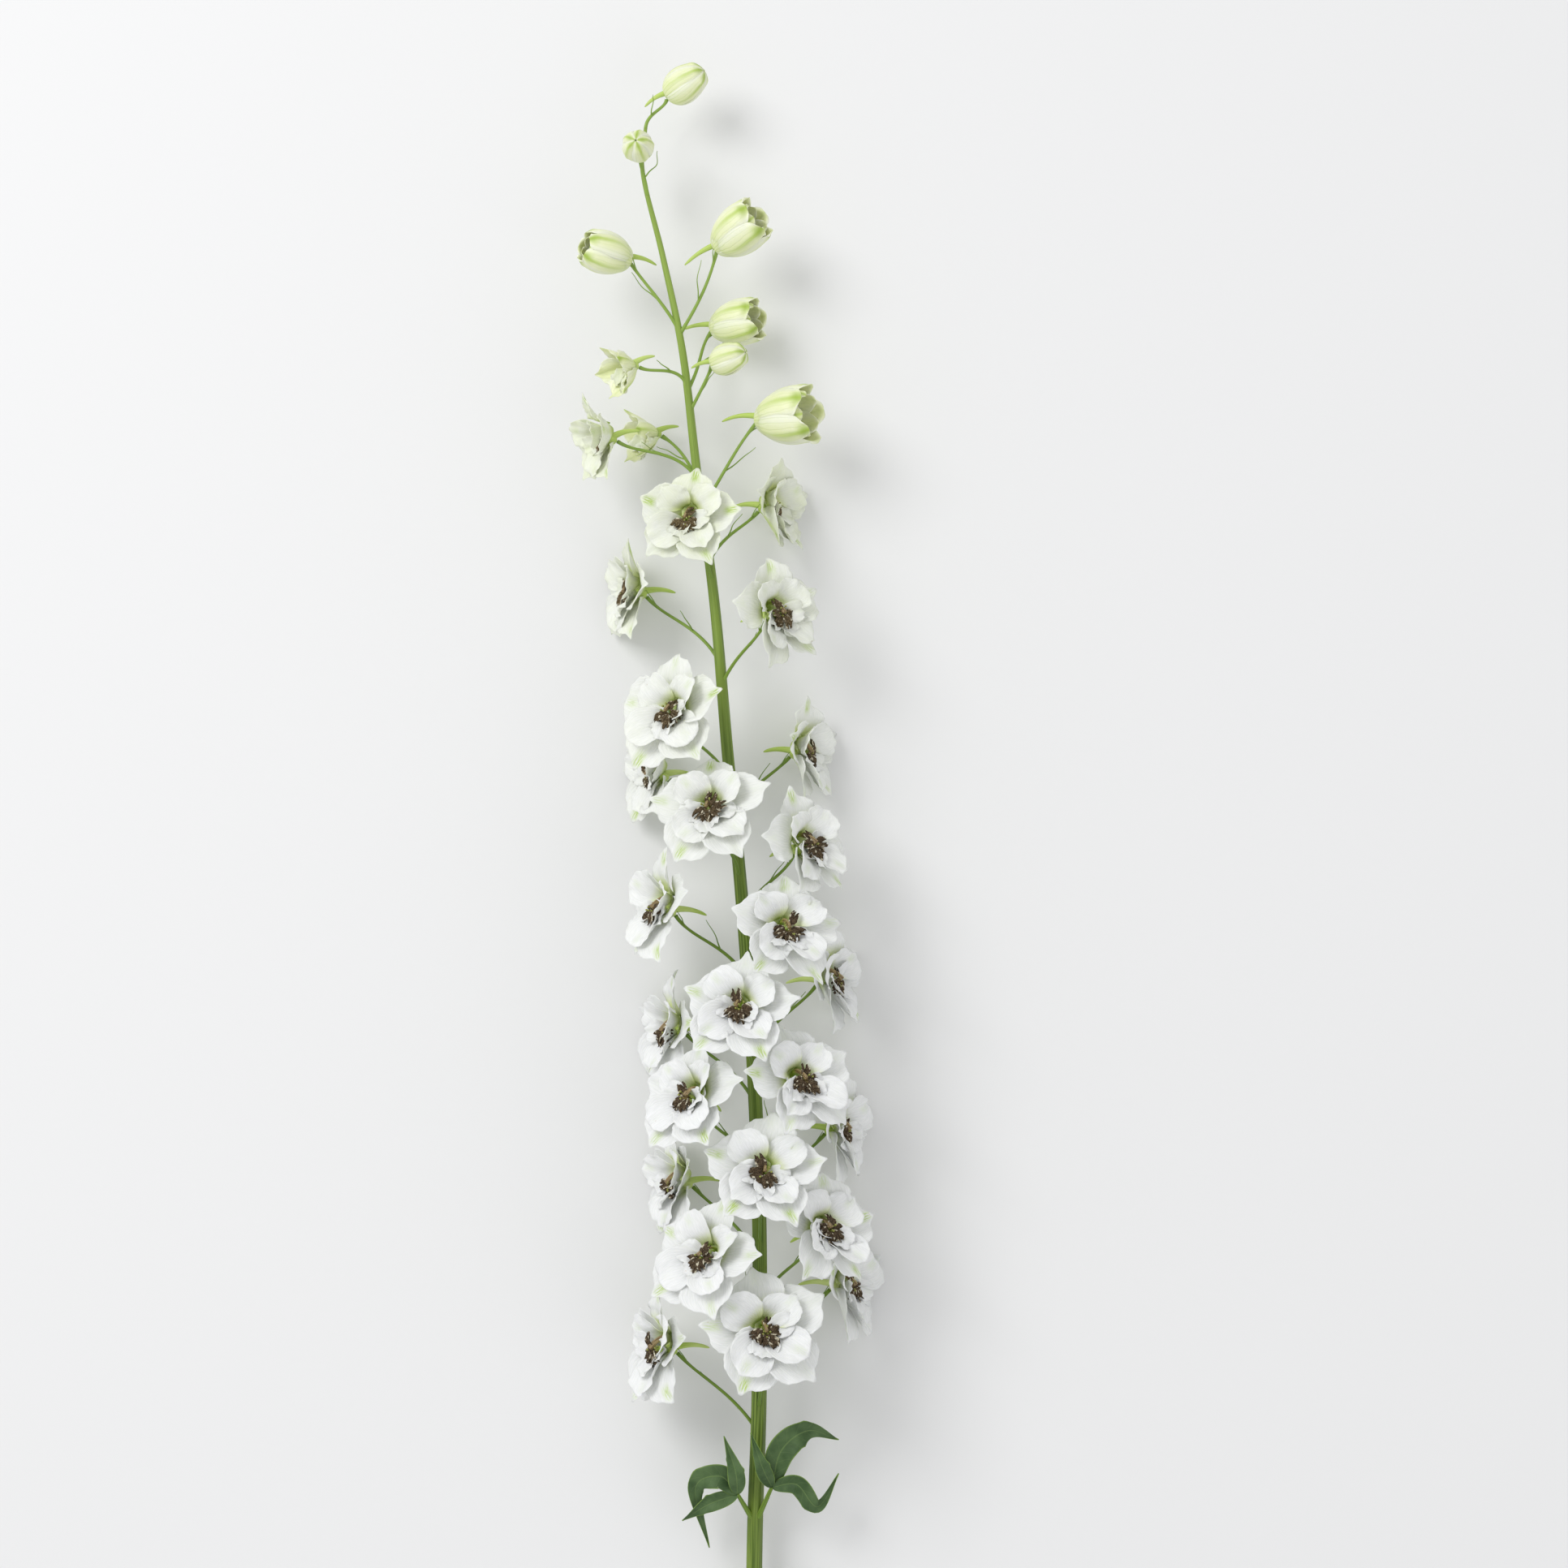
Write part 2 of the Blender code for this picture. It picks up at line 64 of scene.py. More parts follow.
square = ((-1, -1), (1, -1), (1, 1), (-1, 1))
corners = [(x * SURFACE_REACH, y * SURFACE_REACH, 0) for x, y in square]
surface_mesh = bpy.data.meshes.new("surface")
surface_mesh.from_pydata(corners, [], [(0, 1, 2, 3)])
surface = bpy.data.objects.new("surface", surface_mesh)
bpy.context.scene.collection.objects.link(surface)
paper = bpy.data.materials.new("pale_surface")
paper.use_nodes = True
paper_shader = paper.node_tree.nodes["Principled BSDF"]
paper_shader.inputs["Base Color"].default_value = SURFACE_COLOUR
paper_shader.inputs["Roughness"].default_value = SURFACE_ROUGHNESS
surface_mesh.materials.append(paper)

room = bpy.data.worlds.new("soft_room")
room.use_nodes = True
room_light = room.node_tree.nodes["Background"]
room_light.inputs["Color"].default_value = ROOM_COLOUR
room_light.inputs["Strength"].default_value = ROOM_STRENGTH
bpy.context.scene.world = room
bpy.context.scene.view_settings.view_transform = "Standard"


def soft_light(name, place, size, power):
    """A square area light at place, turned to face the origin."""
    lamp = bpy.data.lights.new(name, "AREA")
    lamp.size = size
    lamp.energy = power
    made = bpy.data.objects.new(name, lamp)
    made.location = place
    x, y, z = place
    made.rotation_euler = (math.atan2(math.hypot(x, y), z), 0.0, math.atan2(x, -y))
    bpy.context.scene.collection.objects.link(made)


soft_light("key_light", (-1.7, 1.5, 2.4), size=1.5, power=48)
soft_light("fill_light", (1.6, -1.2, 2.0), size=2.0, power=6)


# Main stem
# One long green stem, round and slightly ridged lengthwise, 9 mm thick at the cut and 2 mm under
# the last bud. It is solid plant tissue with a waxy skin, and it was cut square at its lower end.
# Lengths are in millimetres. A station gives the distance along, sideways and up, and the radius.
MM = 0.001
SPIKE_SEED = 1907
CUT_END_X = 14.812
CUT_END_Y = -446.120
STEM_STATIONS = (
    (0.0, -2.0, 4.5, 4.5),
    (60.0, -1.8, 11.0, 4.4),
    (125.0, -1.0, 20.0, 4.3),
    (200.0, 1.3, 31.0, 4.1),
    (292.0, 1.3, 38.5, 3.9),
    (376.0, -2.0, 40.5, 3.7),
    (460.0, -8.0, 39.5, 3.5),
    (531.0, -15.0, 37.5, 3.2),
    (611.0, -22.0, 36.5, 2.8),
    (678.0, -31.0, 36.0, 2.4),
    (741.0, -38.5, 35.5, 2.0),
    (792.0, -49.0, 34.0, 1.6),
    (836.0, -59.5, 32.0, 1.2),
    (860.0, -58.0, 30.7, 0.95),
)
STEM_LENGTH = STEM_STATIONS[-1][0]
STEM_STEPS = 260
STEM_SIDES = 42
STEM_RIDGES = 7
RIDGE_DEPTH = 0.035
END_RING = 0.01
PALER_FROM = -0.05
PALEST_AT = 0.36


def smooth_rows(rows, count):
    """Rows read at even steps from a smooth curve through the given rows, a cubic in each gap."""
    rows = np.array(rows, float)
    ends = np.vstack([2 * rows[0] - rows[1], rows, 2 * rows[-1] - rows[-2]])
    place = np.linspace(0, len(rows) - 1, count)
    step = np.minimum(place.astype(int), len(rows) - 2)
    t = (place - step)[:, None]
    a, b, c, d = (ends[step + i] for i in range(4))
    return 0.5 * (
        2 * b + (c - a) * t + (2 * a - 5 * b + 4 * c - d) * t**2
        + (3 * b - a - 3 * c + d) * t**3
    )


STEM_CURVE = smooth_rows(STEM_STATIONS, 400)


def stem_point(along):
    """The stem's axis at a distance along it, as x, y, z."""
    columns = [np.interp(along, STEM_CURVE[:, 0], STEM_CURVE[:, i]) for i in (1, 2)]
    return np.array([CUT_END_X + columns[0], CUT_END_Y + along, columns[1]])


def unit(vectors):
    """Each vector divided by its own length."""
    vectors = np.array(vectors, float)
    return vectors / np.linalg.norm(vectors, axis=-1, keepdims=True)


def grid_faces(rows, columns, closed=False):
    """The four corners of every cell of a grid of rows by columns, as indices of its points."""
    index = np.arange(rows * columns).reshape(rows, columns)
    if closed:
        index = np.hstack([index, index[:, :1]])
    around = [index[:-1, :-1], index[:-1, 1:], index[1:, 1:], index[1:, :-1]]
    return np.stack(around, -1).reshape(-1, 4)


def tube(path, radii, sides, finish=0, ridges=0, depth=0.0, look=(0, 0, 0, 0)):
    """A round skin carried along a path: centre + radius * (cos, sin) in the plane across it.

    Between the ridges the radius is less by a share of twice depth. Each end closes in a last
    tiny ring. The UV map holds the turn round the tube and the distance along it."""
    path = np.array(path, float)
    ahead = unit(np.gradient(path, axis=0))
    axes = np.eye(3)
    side = unit(np.cross(ahead, axes[np.abs(ahead).max(axis=0).argmin()]))
    up = np.cross(side, ahead)
    turn = np.linspace(0, 2 * math.pi, sides, endpoint=False)
    swell = 1 + depth * (np.cos(ridges * turn) - 1)
    ring = side[:, None] * np.cos(turn)[None, :, None] + up[:, None] * np.sin(turn)[None, :, None]
    size = np.array(radii, float)[:, None, None] * swell[None, :, None]
    first, last = path[:1, None] + ring[:1] * END_RING, path[-1:, None] + ring[-1:] * END_RING
    points = np.concatenate([first, path[:, None] + ring * size, last])
    run = np.concatenate([[0], np.cumsum(np.linalg.norm(np.diff(path, axis=0), axis=1))])
    run = np.concatenate([run[:1], run, run[-1:]])
    rows = len(points)
    uv = np.stack(np.broadcast_arrays(turn[None, :] / (2 * math.pi), run[:, None] * MM), -1)
    return {
        "points": points.reshape(-1, 3),
        "faces": grid_faces(rows, sides, closed=True),
        "uv": uv.reshape(-1, 2),
        "look": np.tile(np.array(look, float), (rows * sides, 1)),
        "finish": finish,
    }


def piece_from(name, parts, finishes):
    """One object from several skins, whose points are in millimetres.

    Each skin has its points, faces, UV map, look and the number of its finish. The look is four
    values that the materials read, and the class Skin says what they are."""
    start = np.cumsum([0] + [len(part["points"]) for part in parts])
    points = np.concatenate([part["points"] for part in parts]) * MM
    faces = np.concatenate([part["faces"] + first for part, first in zip(parts, start)])
    uv = np.concatenate([part["uv"] for part in parts])
    look = np.concatenate([part["look"] for part in parts])
    finish = np.concatenate([np.full(len(part["faces"]), part["finish"]) for part in parts])
    mesh = bpy.data.meshes.new(name)
    mesh.from_pydata(points.tolist(), [], faces.tolist())
    mesh.uv_layers.new(name="skin")
    mesh.uv_layers["skin"].data.foreach_set("uv", uv[faces.ravel()].ravel().astype(np.float32))
    mesh.attributes.new("look", "FLOAT_COLOR", "POINT")
    mesh.attributes["look"].data.foreach_set("color", look.ravel().astype(np.float32))
    for made in finishes:
        mesh.materials.append(made)
    mesh.polygons.foreach_set("material_index", finish.astype(np.int32))
    mesh.polygons.foreach_set("use_smooth", np.ones(len(faces), bool))
    mesh.update()
    piece = bpy.data.objects.new(name, mesh)
    bpy.context.scene.collection.objects.link(piece)
    return piece


class Nodes:
    """Adds shader nodes to one tree. A call that adds a node gives the output with its result."""

    def __init__(self, tree):
        self.tree = tree

    def put(self, value, socket):
        """Puts a number or a colour on a socket, or links another node's output to it."""
        if isinstance(value, bpy.types.NodeSocket):
            self.tree.links.new(value, socket)
        elif socket.type == "RGBA":
            socket.default_value = (*value, 1.0)
        else:
            socket.default_value = value

    def maths(self, kind, first, second=0.0, third=0.0):
        """A Math node's result."""
        node = self.tree.nodes.new("ShaderNodeMath")
        node.operation = kind
        for socket, value in zip(node.inputs, (first, second, third)):
            self.put(value, socket)
        return node.outputs[0]

    def times(self, first, *others):
        """The product of two values or more."""
        for other in others:
            first = self.maths("MULTIPLY", first, other)
        return first

    def times_plus(self, first, second, third):
        """The first value times the second, plus the third."""
        return self.maths("MULTIPLY_ADD", first, second, third)

    def blend(self, share, first, second):
        """A colour that goes from first to second as share goes from 0 to 1."""
        node = self.tree.nodes.new("ShaderNodeMix")
        node.data_type = "RGBA"
        self.put(share, node.inputs[0])
        self.put(first, node.inputs[6])
        self.put(second, node.inputs[7])
        return node.outputs[2]

    def ramp(self, value, low, high):
        """0 below low, 1 above high and smooth between. With high below low it falls instead."""
        node = self.tree.nodes.new("ShaderNodeMapRange")
        node.interpolation_type = "SMOOTHSTEP"
        self.put(value, node.inputs["Value"])
        self.put(low, node.inputs["From Min"])
        self.put(high, node.inputs["From Max"])
        return node.outputs["Result"]

    def noise(self, place, scale=1.0, detail=2.0, stretch=None):
        """Noise between 0 and 1 at a place, which is stretched first where that is asked for."""
        if stretch is not None:
            mapping = self.tree.nodes.new("ShaderNodeMapping")
            self.put(place, mapping.inputs["Vector"])
            self.put(stretch, mapping.inputs["Scale"])
            place = mapping.outputs["Vector"]
        node = self.tree.nodes.new("ShaderNodeTexNoise")
        self.put(place, node.inputs["Vector"])
        self.put(scale, node.inputs["Scale"])
        self.put(detail, node.inputs["Detail"])
        return node.outputs["Fac"]

    def split(self, kind, value):
        """The first three outputs of a node that takes a vector or a colour apart."""
        node = self.tree.nodes.new(kind)
        self.put(value, node.inputs[0])
        return node.outputs[0], node.outputs[1], node.outputs[2]


class Skin(Nodes):
    """A plant-skin material in the making, with the places and values that patterns read.

    place is the Object coordinates, and map the UV map, with across and along its two numbers.
    The look's four values are back, 1 on the back of a blade, fleck, how strong its green fleck
    is, young, how green the flower still is, and throat, how green the blade's foot is."""

    def __init__(self, name, roughness, subsurface=0.0, radius=(1.0, 1.0, 1.0), scale=0.001,
                 gloss=0.5):
        self.made = bpy.data.materials.new(name)
        self.made.use_nodes = True
        super().__init__(self.made.node_tree)
        self.shader = self.tree.nodes["Principled BSDF"]
        self.shader.inputs["Roughness"].default_value = roughness
        self.shader.inputs["Subsurface Weight"].default_value = subsurface
        self.shader.inputs["Subsurface Radius"].default_value = radius
        self.shader.inputs["Subsurface Scale"].default_value = scale
        self.shader.inputs["Specular IOR Level"].default_value = gloss
        self.place = self.tree.nodes.new("ShaderNodeTexCoord").outputs["Object"]
        uv_map = self.tree.nodes.new("ShaderNodeUVMap")
        uv_map.uv_map = "skin"
        self.map = uv_map.outputs["UV"]
        self.across, self.along, _ = self.split("ShaderNodeSeparateXYZ", self.map)
        look = self.tree.nodes.new("ShaderNodeAttribute")
        look.attribute_name = "look"
        values = self.split("ShaderNodeSeparateColor", look.outputs["Color"])
        self.back, self.fleck, self.young = values
        self.throat = look.outputs["Alpha"]

    def from_midrib(self):
        """0 on a blade's midrib and 1 at both its margins."""
        return self.maths("ABSOLUTE", self.times_plus(self.across, 2.0, -1.0))

    def done(self, colour, height, strength, distance):
        """The material, with its colour linked and a bump of the given height."""
        node = self.tree.nodes.new("ShaderNodeBump")
        node.inputs["Strength"].default_value = strength
        node.inputs["Distance"].default_value = distance
        self.put(height, node.inputs["Height"])
        self.put(node.outputs["Normal"], self.shader.inputs["Normal"])
        self.put(colour, self.shader.inputs["Base Color"])
        return self.made


def stem_skin(name, light, dark, low, tip):
    """Waxy green skin: lighter and darker streaks along the stem, paler to the tip, fine pores."""
    skin = Skin(name, 0.45, 0.08, (0.6, 1.0, 0.3), 0.002, 0.3)
    streak = skin.noise(skin.map, detail=3.0, stretch=(26.0, 16.0, 1.0))
    patch = skin.noise(skin.place, 30.0)
    pores = skin.noise(skin.map, stretch=(90.0, 900.0, 1.0))
    _, up_spike, _ = skin.split("ShaderNodeSeparateXYZ", skin.place)
    green = skin.blend(skin.ramp(streak, 0.36, 0.66), dark, light)
    green = skin.blend(skin.ramp(patch, 0.45, 0.75), green, low)
    pale = skin.ramp(up_spike, PALER_FROM, PALEST_AT)
    green = skin.blend(skin.times(pale, skin.times_plus(streak, 0.8, 0.35)), green, tip)
    return skin.done(green, skin.times_plus(streak, 0.8, skin.times(pores, 0.2)), 0.35, 0.0006)


main_green = stem_skin(
    "stem_green_skin", light=(0.19, 0.27, 0.045), dark=(0.065, 0.115, 0.010),
    low=(0.125, 0.185, 0.018), tip=(0.30, 0.42, 0.085))
stem_steps = np.linspace(0, STEM_LENGTH, STEM_STEPS)
stem_path = np.stack([stem_point(step) for step in stem_steps])
stem_radii = np.interp(stem_steps, STEM_CURVE[:, 0], STEM_CURVE[:, 3])
stem_tube = tube(stem_path, stem_radii, STEM_SIDES, ridges=STEM_RIDGES, depth=RIDGE_DEPTH)
main_stem = piece_from("main_stem", [stem_tube], [main_green])
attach(main_stem, "root")
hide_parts("stem")


# Where each flower and bud sits
# Every flower grows at the end of its own stalk. A row gives the distance along the stem, the
# direction round it, the reach from its axis, the size, the openness, the lean of the face
# towards the tip, and how far below the flower its stalk leaves the stem.
OPEN_FLOWERS = (
    (221, -82, 46, 60, 1.00, 6, 44),
    (232, 4, 43, 62, 1.00, 20, 46),
    (252, 113, 43, 58, 0.95, 6, 42),
    (270, -34, 44, 58, 1.00, 22, 40),
    (284, 42, 45, 58, 1.00, 22, 40),
    (306, -117, 42, 56, 0.95, 4, 38),
    (314, 4, 43, 57, 1.00, 24, 40),
    (334, 116, 43, 56, 0.95, 6, 38),
    (352, -42, 43, 57, 1.00, 22, 38),
    (361, 30, 43, 56, 1.00, 22, 38),
    (386, -118, 42, 55, 0.95, 4, 36),
    (398, -6, 43, 56, 1.00, 24, 36),
    (412, 112, 41, 54, 0.95, 8, 36),
    (438, 26, 42, 56, 1.00, 24, 36),
    (450, -62, 42, 55, 0.95, 12, 36),
    (482, 52, 40, 54, 1.00, 18, 34),
    (500, -14, 42, 56, 1.00, 24, 34),
    (520, -119, 40, 50, 0.90, 4, 32),
    (532, 118, 40, 50, 0.90, 4, 32),
    (550, -34, 41, 58, 1.00, 18, 34),
    (602, 44, 40, 52, 0.95, 12, 34),
    (616, -115, 42, 52, 0.90, 4, 36),
    (651, -12, 33, 50, 0.90, 12, 30),
    (661, 119, 37, 48, 0.80, 4, 28),
    (695, -74, 44, 44, 0.75, -10, 20),
)
BELLS = (
    (706, 78, 38, 32, 0.25, 6, 46),
    (733, -62, 30, 31, 0.45, -16, 8),
    (700, -132, 26, 30, 0.40, -10, 26),
    (756, 122, 24, 26, 0.20, 10, 34),
    (797, 78, 32, 28, 0.20, 34, 46),
    (790, -72, 21, 24, 0.15, 14, 36),
)
BUDS = (
    (735, 60, 19, 17, 0.0, 16, 24),
    (846, -4, 15, 17, 0.0, 8, 22),
    (877, 84, 13, 20, 0.0, 30, 18),
)
FIRST_FLOWER_SEED, FIRST_BELL_SEED, FIRST_BUD_SEED = 10, 50, 70
FINE_SEED = 500
LARGEST_ROLL = 12
UNDERSIDE_FACING = 66
GREEN_ALONG = (420, 560, 720, 870)
GREEN_THERE = (0.0, 0.22, 0.75, 1.0)


class Flower:
    """Where one flower sits and which way it faces. Local +Z is its face, +Y its spurred side.

    rng makes the draws that its solid has too, and fine those of what only the scene adds."""

    def __init__(self, row, seed):
        self.along, self.round, self.reach, self.size, self.open, lean, self.drop = row
        self.rng = np.random.default_rng(SPIKE_SEED + seed)
        turn = math.radians(self.round)
        facing = math.radians(np.clip(self.round, -UNDERSIDE_FACING, UNDERSIDE_FACING))
        lean = math.radians(lean)
        out = np.array([math.sin(turn), 0.0, math.cos(turn)])
        self.centre = stem_point(self.along) + self.reach * out
        face = [
            math.sin(facing) * math.cos(lean),
            math.sin(lean),
            math.cos(facing) * math.cos(lean),
        ]
        self.aim(face, math.radians(self.rng.uniform(-LARGEST_ROLL, LARGEST_ROLL)))
        self.fine = np.random.default_rng(SPIKE_SEED + FINE_SEED + seed)
        self.greenness = float(np.interp(self.along, GREEN_ALONG, GREEN_THERE))

    def aim(self, face, roll):
        """Sets the local axes: +Z along face, and +Y towards the spike's tip, rolled a little.

        slide is the level direction in which a petal gives where the surface stops it."""
        face = unit(face)
        up = np.array([0.0, 1.0, 0.0])
        up = unit(up - face * (up @ face))
        side = np.cross(up, face)
        tip = math.cos(roll) * up + math.sin(roll) * side
        self.axes = np.column_stack([np.cross(tip, face), tip, face])
        flat = np.array([face[0], face[1], 0.0])
        self.slide = unit(flat) if np.linalg.norm(flat) > 0.2 else np.zeros(3)

    def world(self, points):
        """Points in the flower's own frame, moved to where the flower sits on the spike."""
        return self.centre + points @ self.axes.T


opened = [Flower(row, FIRST_FLOWER_SEED + i) for i, row in enumerate(OPEN_FLOWERS)]
bells = [Flower(row, FIRST_BELL_SEED + i) for i, row in enumerate(BELLS)]
buds = [Flower(row, FIRST_BUD_SEED + i) for i, row in enumerate(BUDS)]


# Petals of the open flowers
# Each flower has five broad white sepals, an inner ring of rounder, ruffled petals and two or
# three small ones. They are thin living tissue that grows from the top of the stalk, and each
# lies over the next. The upper sepal draws out behind the flower into a hollow horn, its spur.
SEPALS = 5
PETAL_WIDEST = 0.62
PETAL_ACROSS = 21
PETAL_ROWS = 21
CLAW_WIDTH = 0.16
PETAL_THICK = 0.42
SMALL_PETAL_THICK = 0.36
FACES_UP = 60
LARGE_FLOWER = 50
LOWEST_PETAL = 0.31
LAYER_STEP = 0.45
LAYER_TURN = math.radians(36)
SMALL_PETAL_LEVEL = 4.5
THROAT_OPENS = 0.6
CUP_PLACE = 5.4
CUP_RADIUS = 4.4
CUP_FOOT = 0.9
CUP_WALL = 0.25
SPUR_SIDES = 16
PETAL_SHADE = (0.80, 0.815, 0.80)
PETAL_WHITE = (0.91, 0.915, 0.905)
VEIN_GREEN = (0.70, 0.76, 0.62)
YOUNG_GREEN = (0.78, 0.85, 0.43)
THROAT_GREEN = (0.60, 0.72, 0.13)
# The next colour is the throat's deeper green, darkened further as painted shade of the hollow at
# the petals' foot.
THROAT_DEEP_GREEN_AND_SHADE = (0.26, 0.38, 0.03)
FLECK_GREEN = (0.42, 0.58, 0.12)
KEEL_GREEN = (0.50, 0.64, 0.12)
BLEMISH_BROWN = (0.42, 0.26, 0.13)


def settle(points, slide, lowest, soft=3.0):
    """Bends what would sink below the surface so that it lies on it at height lowest.

    The part of a petal that would be below the surface slides outwards by most of that depth."""
    z = points[..., 2] - lowest
    bent = np.where(z > soft, z, np.where(z < -soft, 0.0, (z + soft) ** 2 / (4 * soft)))
    moved = points + slide * (bent - z)[..., None] * 0.85
    moved[..., 2] = bent + lowest
    return moved


def open_throat(plan, reach):
    """Moves an upper petal's foot on to the rim of the throat's cup, and leaves a lower one."""
    turn = plan["round"]
    way = np.array([math.sin(turn), math.cos(turn)])
    share = min(max(2.0 * math.cos(turn) + 0.1, 0.0), 1.0) if reach > 0 else 0.0
    rim = np.array([0.0, CUP_PLACE]) + (CUP_RADIUS - reach) * way
    plan["shift"] = share * (rim - plan["start"][0] * way)


def petal_plan(flower, whorl, index, count):
    """The size and bends of one petal: of the sepals in whorl 0, and of the inner ring in 1."""
    rng, inner = flower.rng, whorl == 1
    share = min(max((flower.open - 0.2) / 0.8, 0.0), 1.0)
    rise = 52 if inner else 40
    tip = 100 - 92 * share if inner else 98 - 104 * share
    length = flower.size * (0.47 if inner else 0.58) * (1 + 0.35 * (1 - share) ** 2)
    width = flower.size * (0.39 if inner else 0.49) * (1 + 0.10 * (1 - share) ** 2)
    turn = 2 * math.pi * (index + (0.5 if inner else 0.0)) / count
    floor = math.atan2(-flower.axes[2, 0], -flower.axes[2, 1])
    off_floor = abs((turn - floor + math.pi) % (2 * math.pi) - math.pi)
    plan = {
        "round": turn + rng.uniform(-0.05, 0.05),
        "length": length * rng.uniform(0.94, 1.05),
        "width": width * rng.uniform(0.93, 1.06),
        "start": (1.3, 1.9) if inner else (2.4, -0.6),
        "rise": math.radians(rise + rng.uniform(-3, 3)),
        "tip": math.radians(tip + rng.uniform(-10, 10)),
        "twist": math.radians(rng.uniform(9, 13)),
        "wave": rng.uniform(0.3, 0.8) * (0.3 + 0.7 * share),
        "phase": rng.uniform(0, 2 * math.pi),
        "sway": rng.uniform(-0.05, 0.05),
        "layer": off_floor // LAYER_TURN + 5 * whorl,
    }
    # The solid petal has one more draw, and it is made here so that the next ones stay the same.
    rng.uniform()
    fine = flower.fine
    plan["point"] = fine.uniform(-0.01, 0.11) if inner else fine.uniform(0.11, 0.18)
    plan["ruffle"] = fine.uniform(0.5, 0.9) if inner else fine.uniform(0.35, 0.75)
    plan["phases"] = fine.uniform(0, 2 * math.pi, 6)
    plan["keel"] = 0.3 if inner else 0.8
    plan["pinch"] = fine.uniform(0.0, 0.5) if inner else fine.uniform(0.8, 1.8)
    plan["reflex"] = math.radians(fine.uniform(-30, 18) if inner else fine.uniform(-20, 24)) * share
    plan["cup"] = 0.012 if inner else 0.004
    open_throat(plan, 0.6 if flower.open > THROAT_OPENS else -2.0)
    return plan


def small_plan(flower, index, count):
    """One of the small ruffled petals that stand round the flower's centre."""
    fine = flower.fine
    turn = math.radians(60 + 240 * (index + fine.uniform(0.2, 0.8)) / count)
    return {
        "round": turn,
        "length": flower.size * fine.uniform(0.26, 0.34),
        "width": flower.size * fine.uniform(0.20, 0.27),
        "start": (1.0, 2.6),
        "rise": math.radians(fine.uniform(60, 68)),
        "tip": math.radians(fine.uniform(0, 34)),
        "twist": math.radians(fine.uniform(-14, 14)),
        "wave": fine.uniform(0.6, 1.1),
        "phase": fine.uniform(0, 2 * math.pi),
        "sway": fine.uniform(-0.12, 0.12),
        "point": fine.uniform(-0.06, 0.06),
        "ruffle": fine.uniform(0.7, 1.2),
        "phases": fine.uniform(0, 2 * math.pi, 6),
        "keel": 0.2,
        "pinch": fine.uniform(-0.6, 0.8),
        "reflex": math.radians(fine.uniform(-40, 20)),
        "cup": 0.02,
        "shift": np.zeros(2),
    }


def blade_grid(rows, columns):
    """Two values over a grid: from -1 to 1 across it, and from 0 to 1 along it."""
    across = np.linspace(-1, 1, columns)[None, :] * np.ones((rows, 1))
    along = np.linspace(0, 1, rows)[:, None] * np.ones((1, columns))
    return across, along


def petal_outline(plan):
    """A grid over a petal's blade: how far across it is, as a share of the half width, and along.

    Below the widest row the blade narrows to its claw by a sine. Above it the square grid is bent
    to half a disc, so the end is round, and a low hump in the middle draws it out to a point."""
    u, v = blade_grid(PETAL_ROWS, PETAL_ACROSS)
    low = np.clip(v / 0.5, 0, 1)
    high = np.clip((v - 0.5) / 0.5, 0, 1)
    near = CLAW_WIDTH + (1 - CLAW_WIDTH) * np.sin(0.5 * np.pi * low) ** 1.05
    x = u * np.where(v < 0.5, near, np.sqrt(1 - 0.5 * high**2))
    t = PETAL_WIDEST * low + (1 - PETAL_WIDEST) * high * np.sqrt(1 - 0.5 * u**2)
    edge = np.maximum(np.abs(u) * np.clip(low * 1.6, 0, 1), high)
    round_edge = np.arctan2(x, (t - PETAL_WIDEST) / (1 - PETAL_WIDEST))
    p = plan["phases"]
    nick = 0.012 * np.sin(13 * round_edge + p[0]) + 0.010 * np.sin(23 * round_edge + p[1])
    x = x * (1 + nick * edge**6)
    t = PETAL_WIDEST + (t - PETAL_WIDEST) * (1 + nick * edge**6)
    t = t * (1 - max(plan["point"], 0.0)) + plan["point"] * high**2 * np.exp(-((x / 0.17) ** 2))
    return u, x, t, edge, round_edge


def walk(start, length, steps, angles):
    """How far out and how high a line is that starts at start and has these slopes on its way."""
    gap = length * (steps[1] - steps[0])
    middle = 0.5 * (angles[1:] + angles[:-1])
    reach = start[0] + np.concatenate([[0], np.cumsum(gap * np.cos(middle))])
    climb = start[1] + np.concatenate([[0], np.cumsum(gap * np.sin(middle))])
    return reach, climb


def turned(turn, r, side, z):
    """Points that are r out from a flower's centre at a turn round it, side across and z up."""
    x = r * np.sin(turn) + side * np.cos(turn)
    y = r * np.cos(turn) - side * np.sin(turn)
    return np.stack([x, y, z], -1)


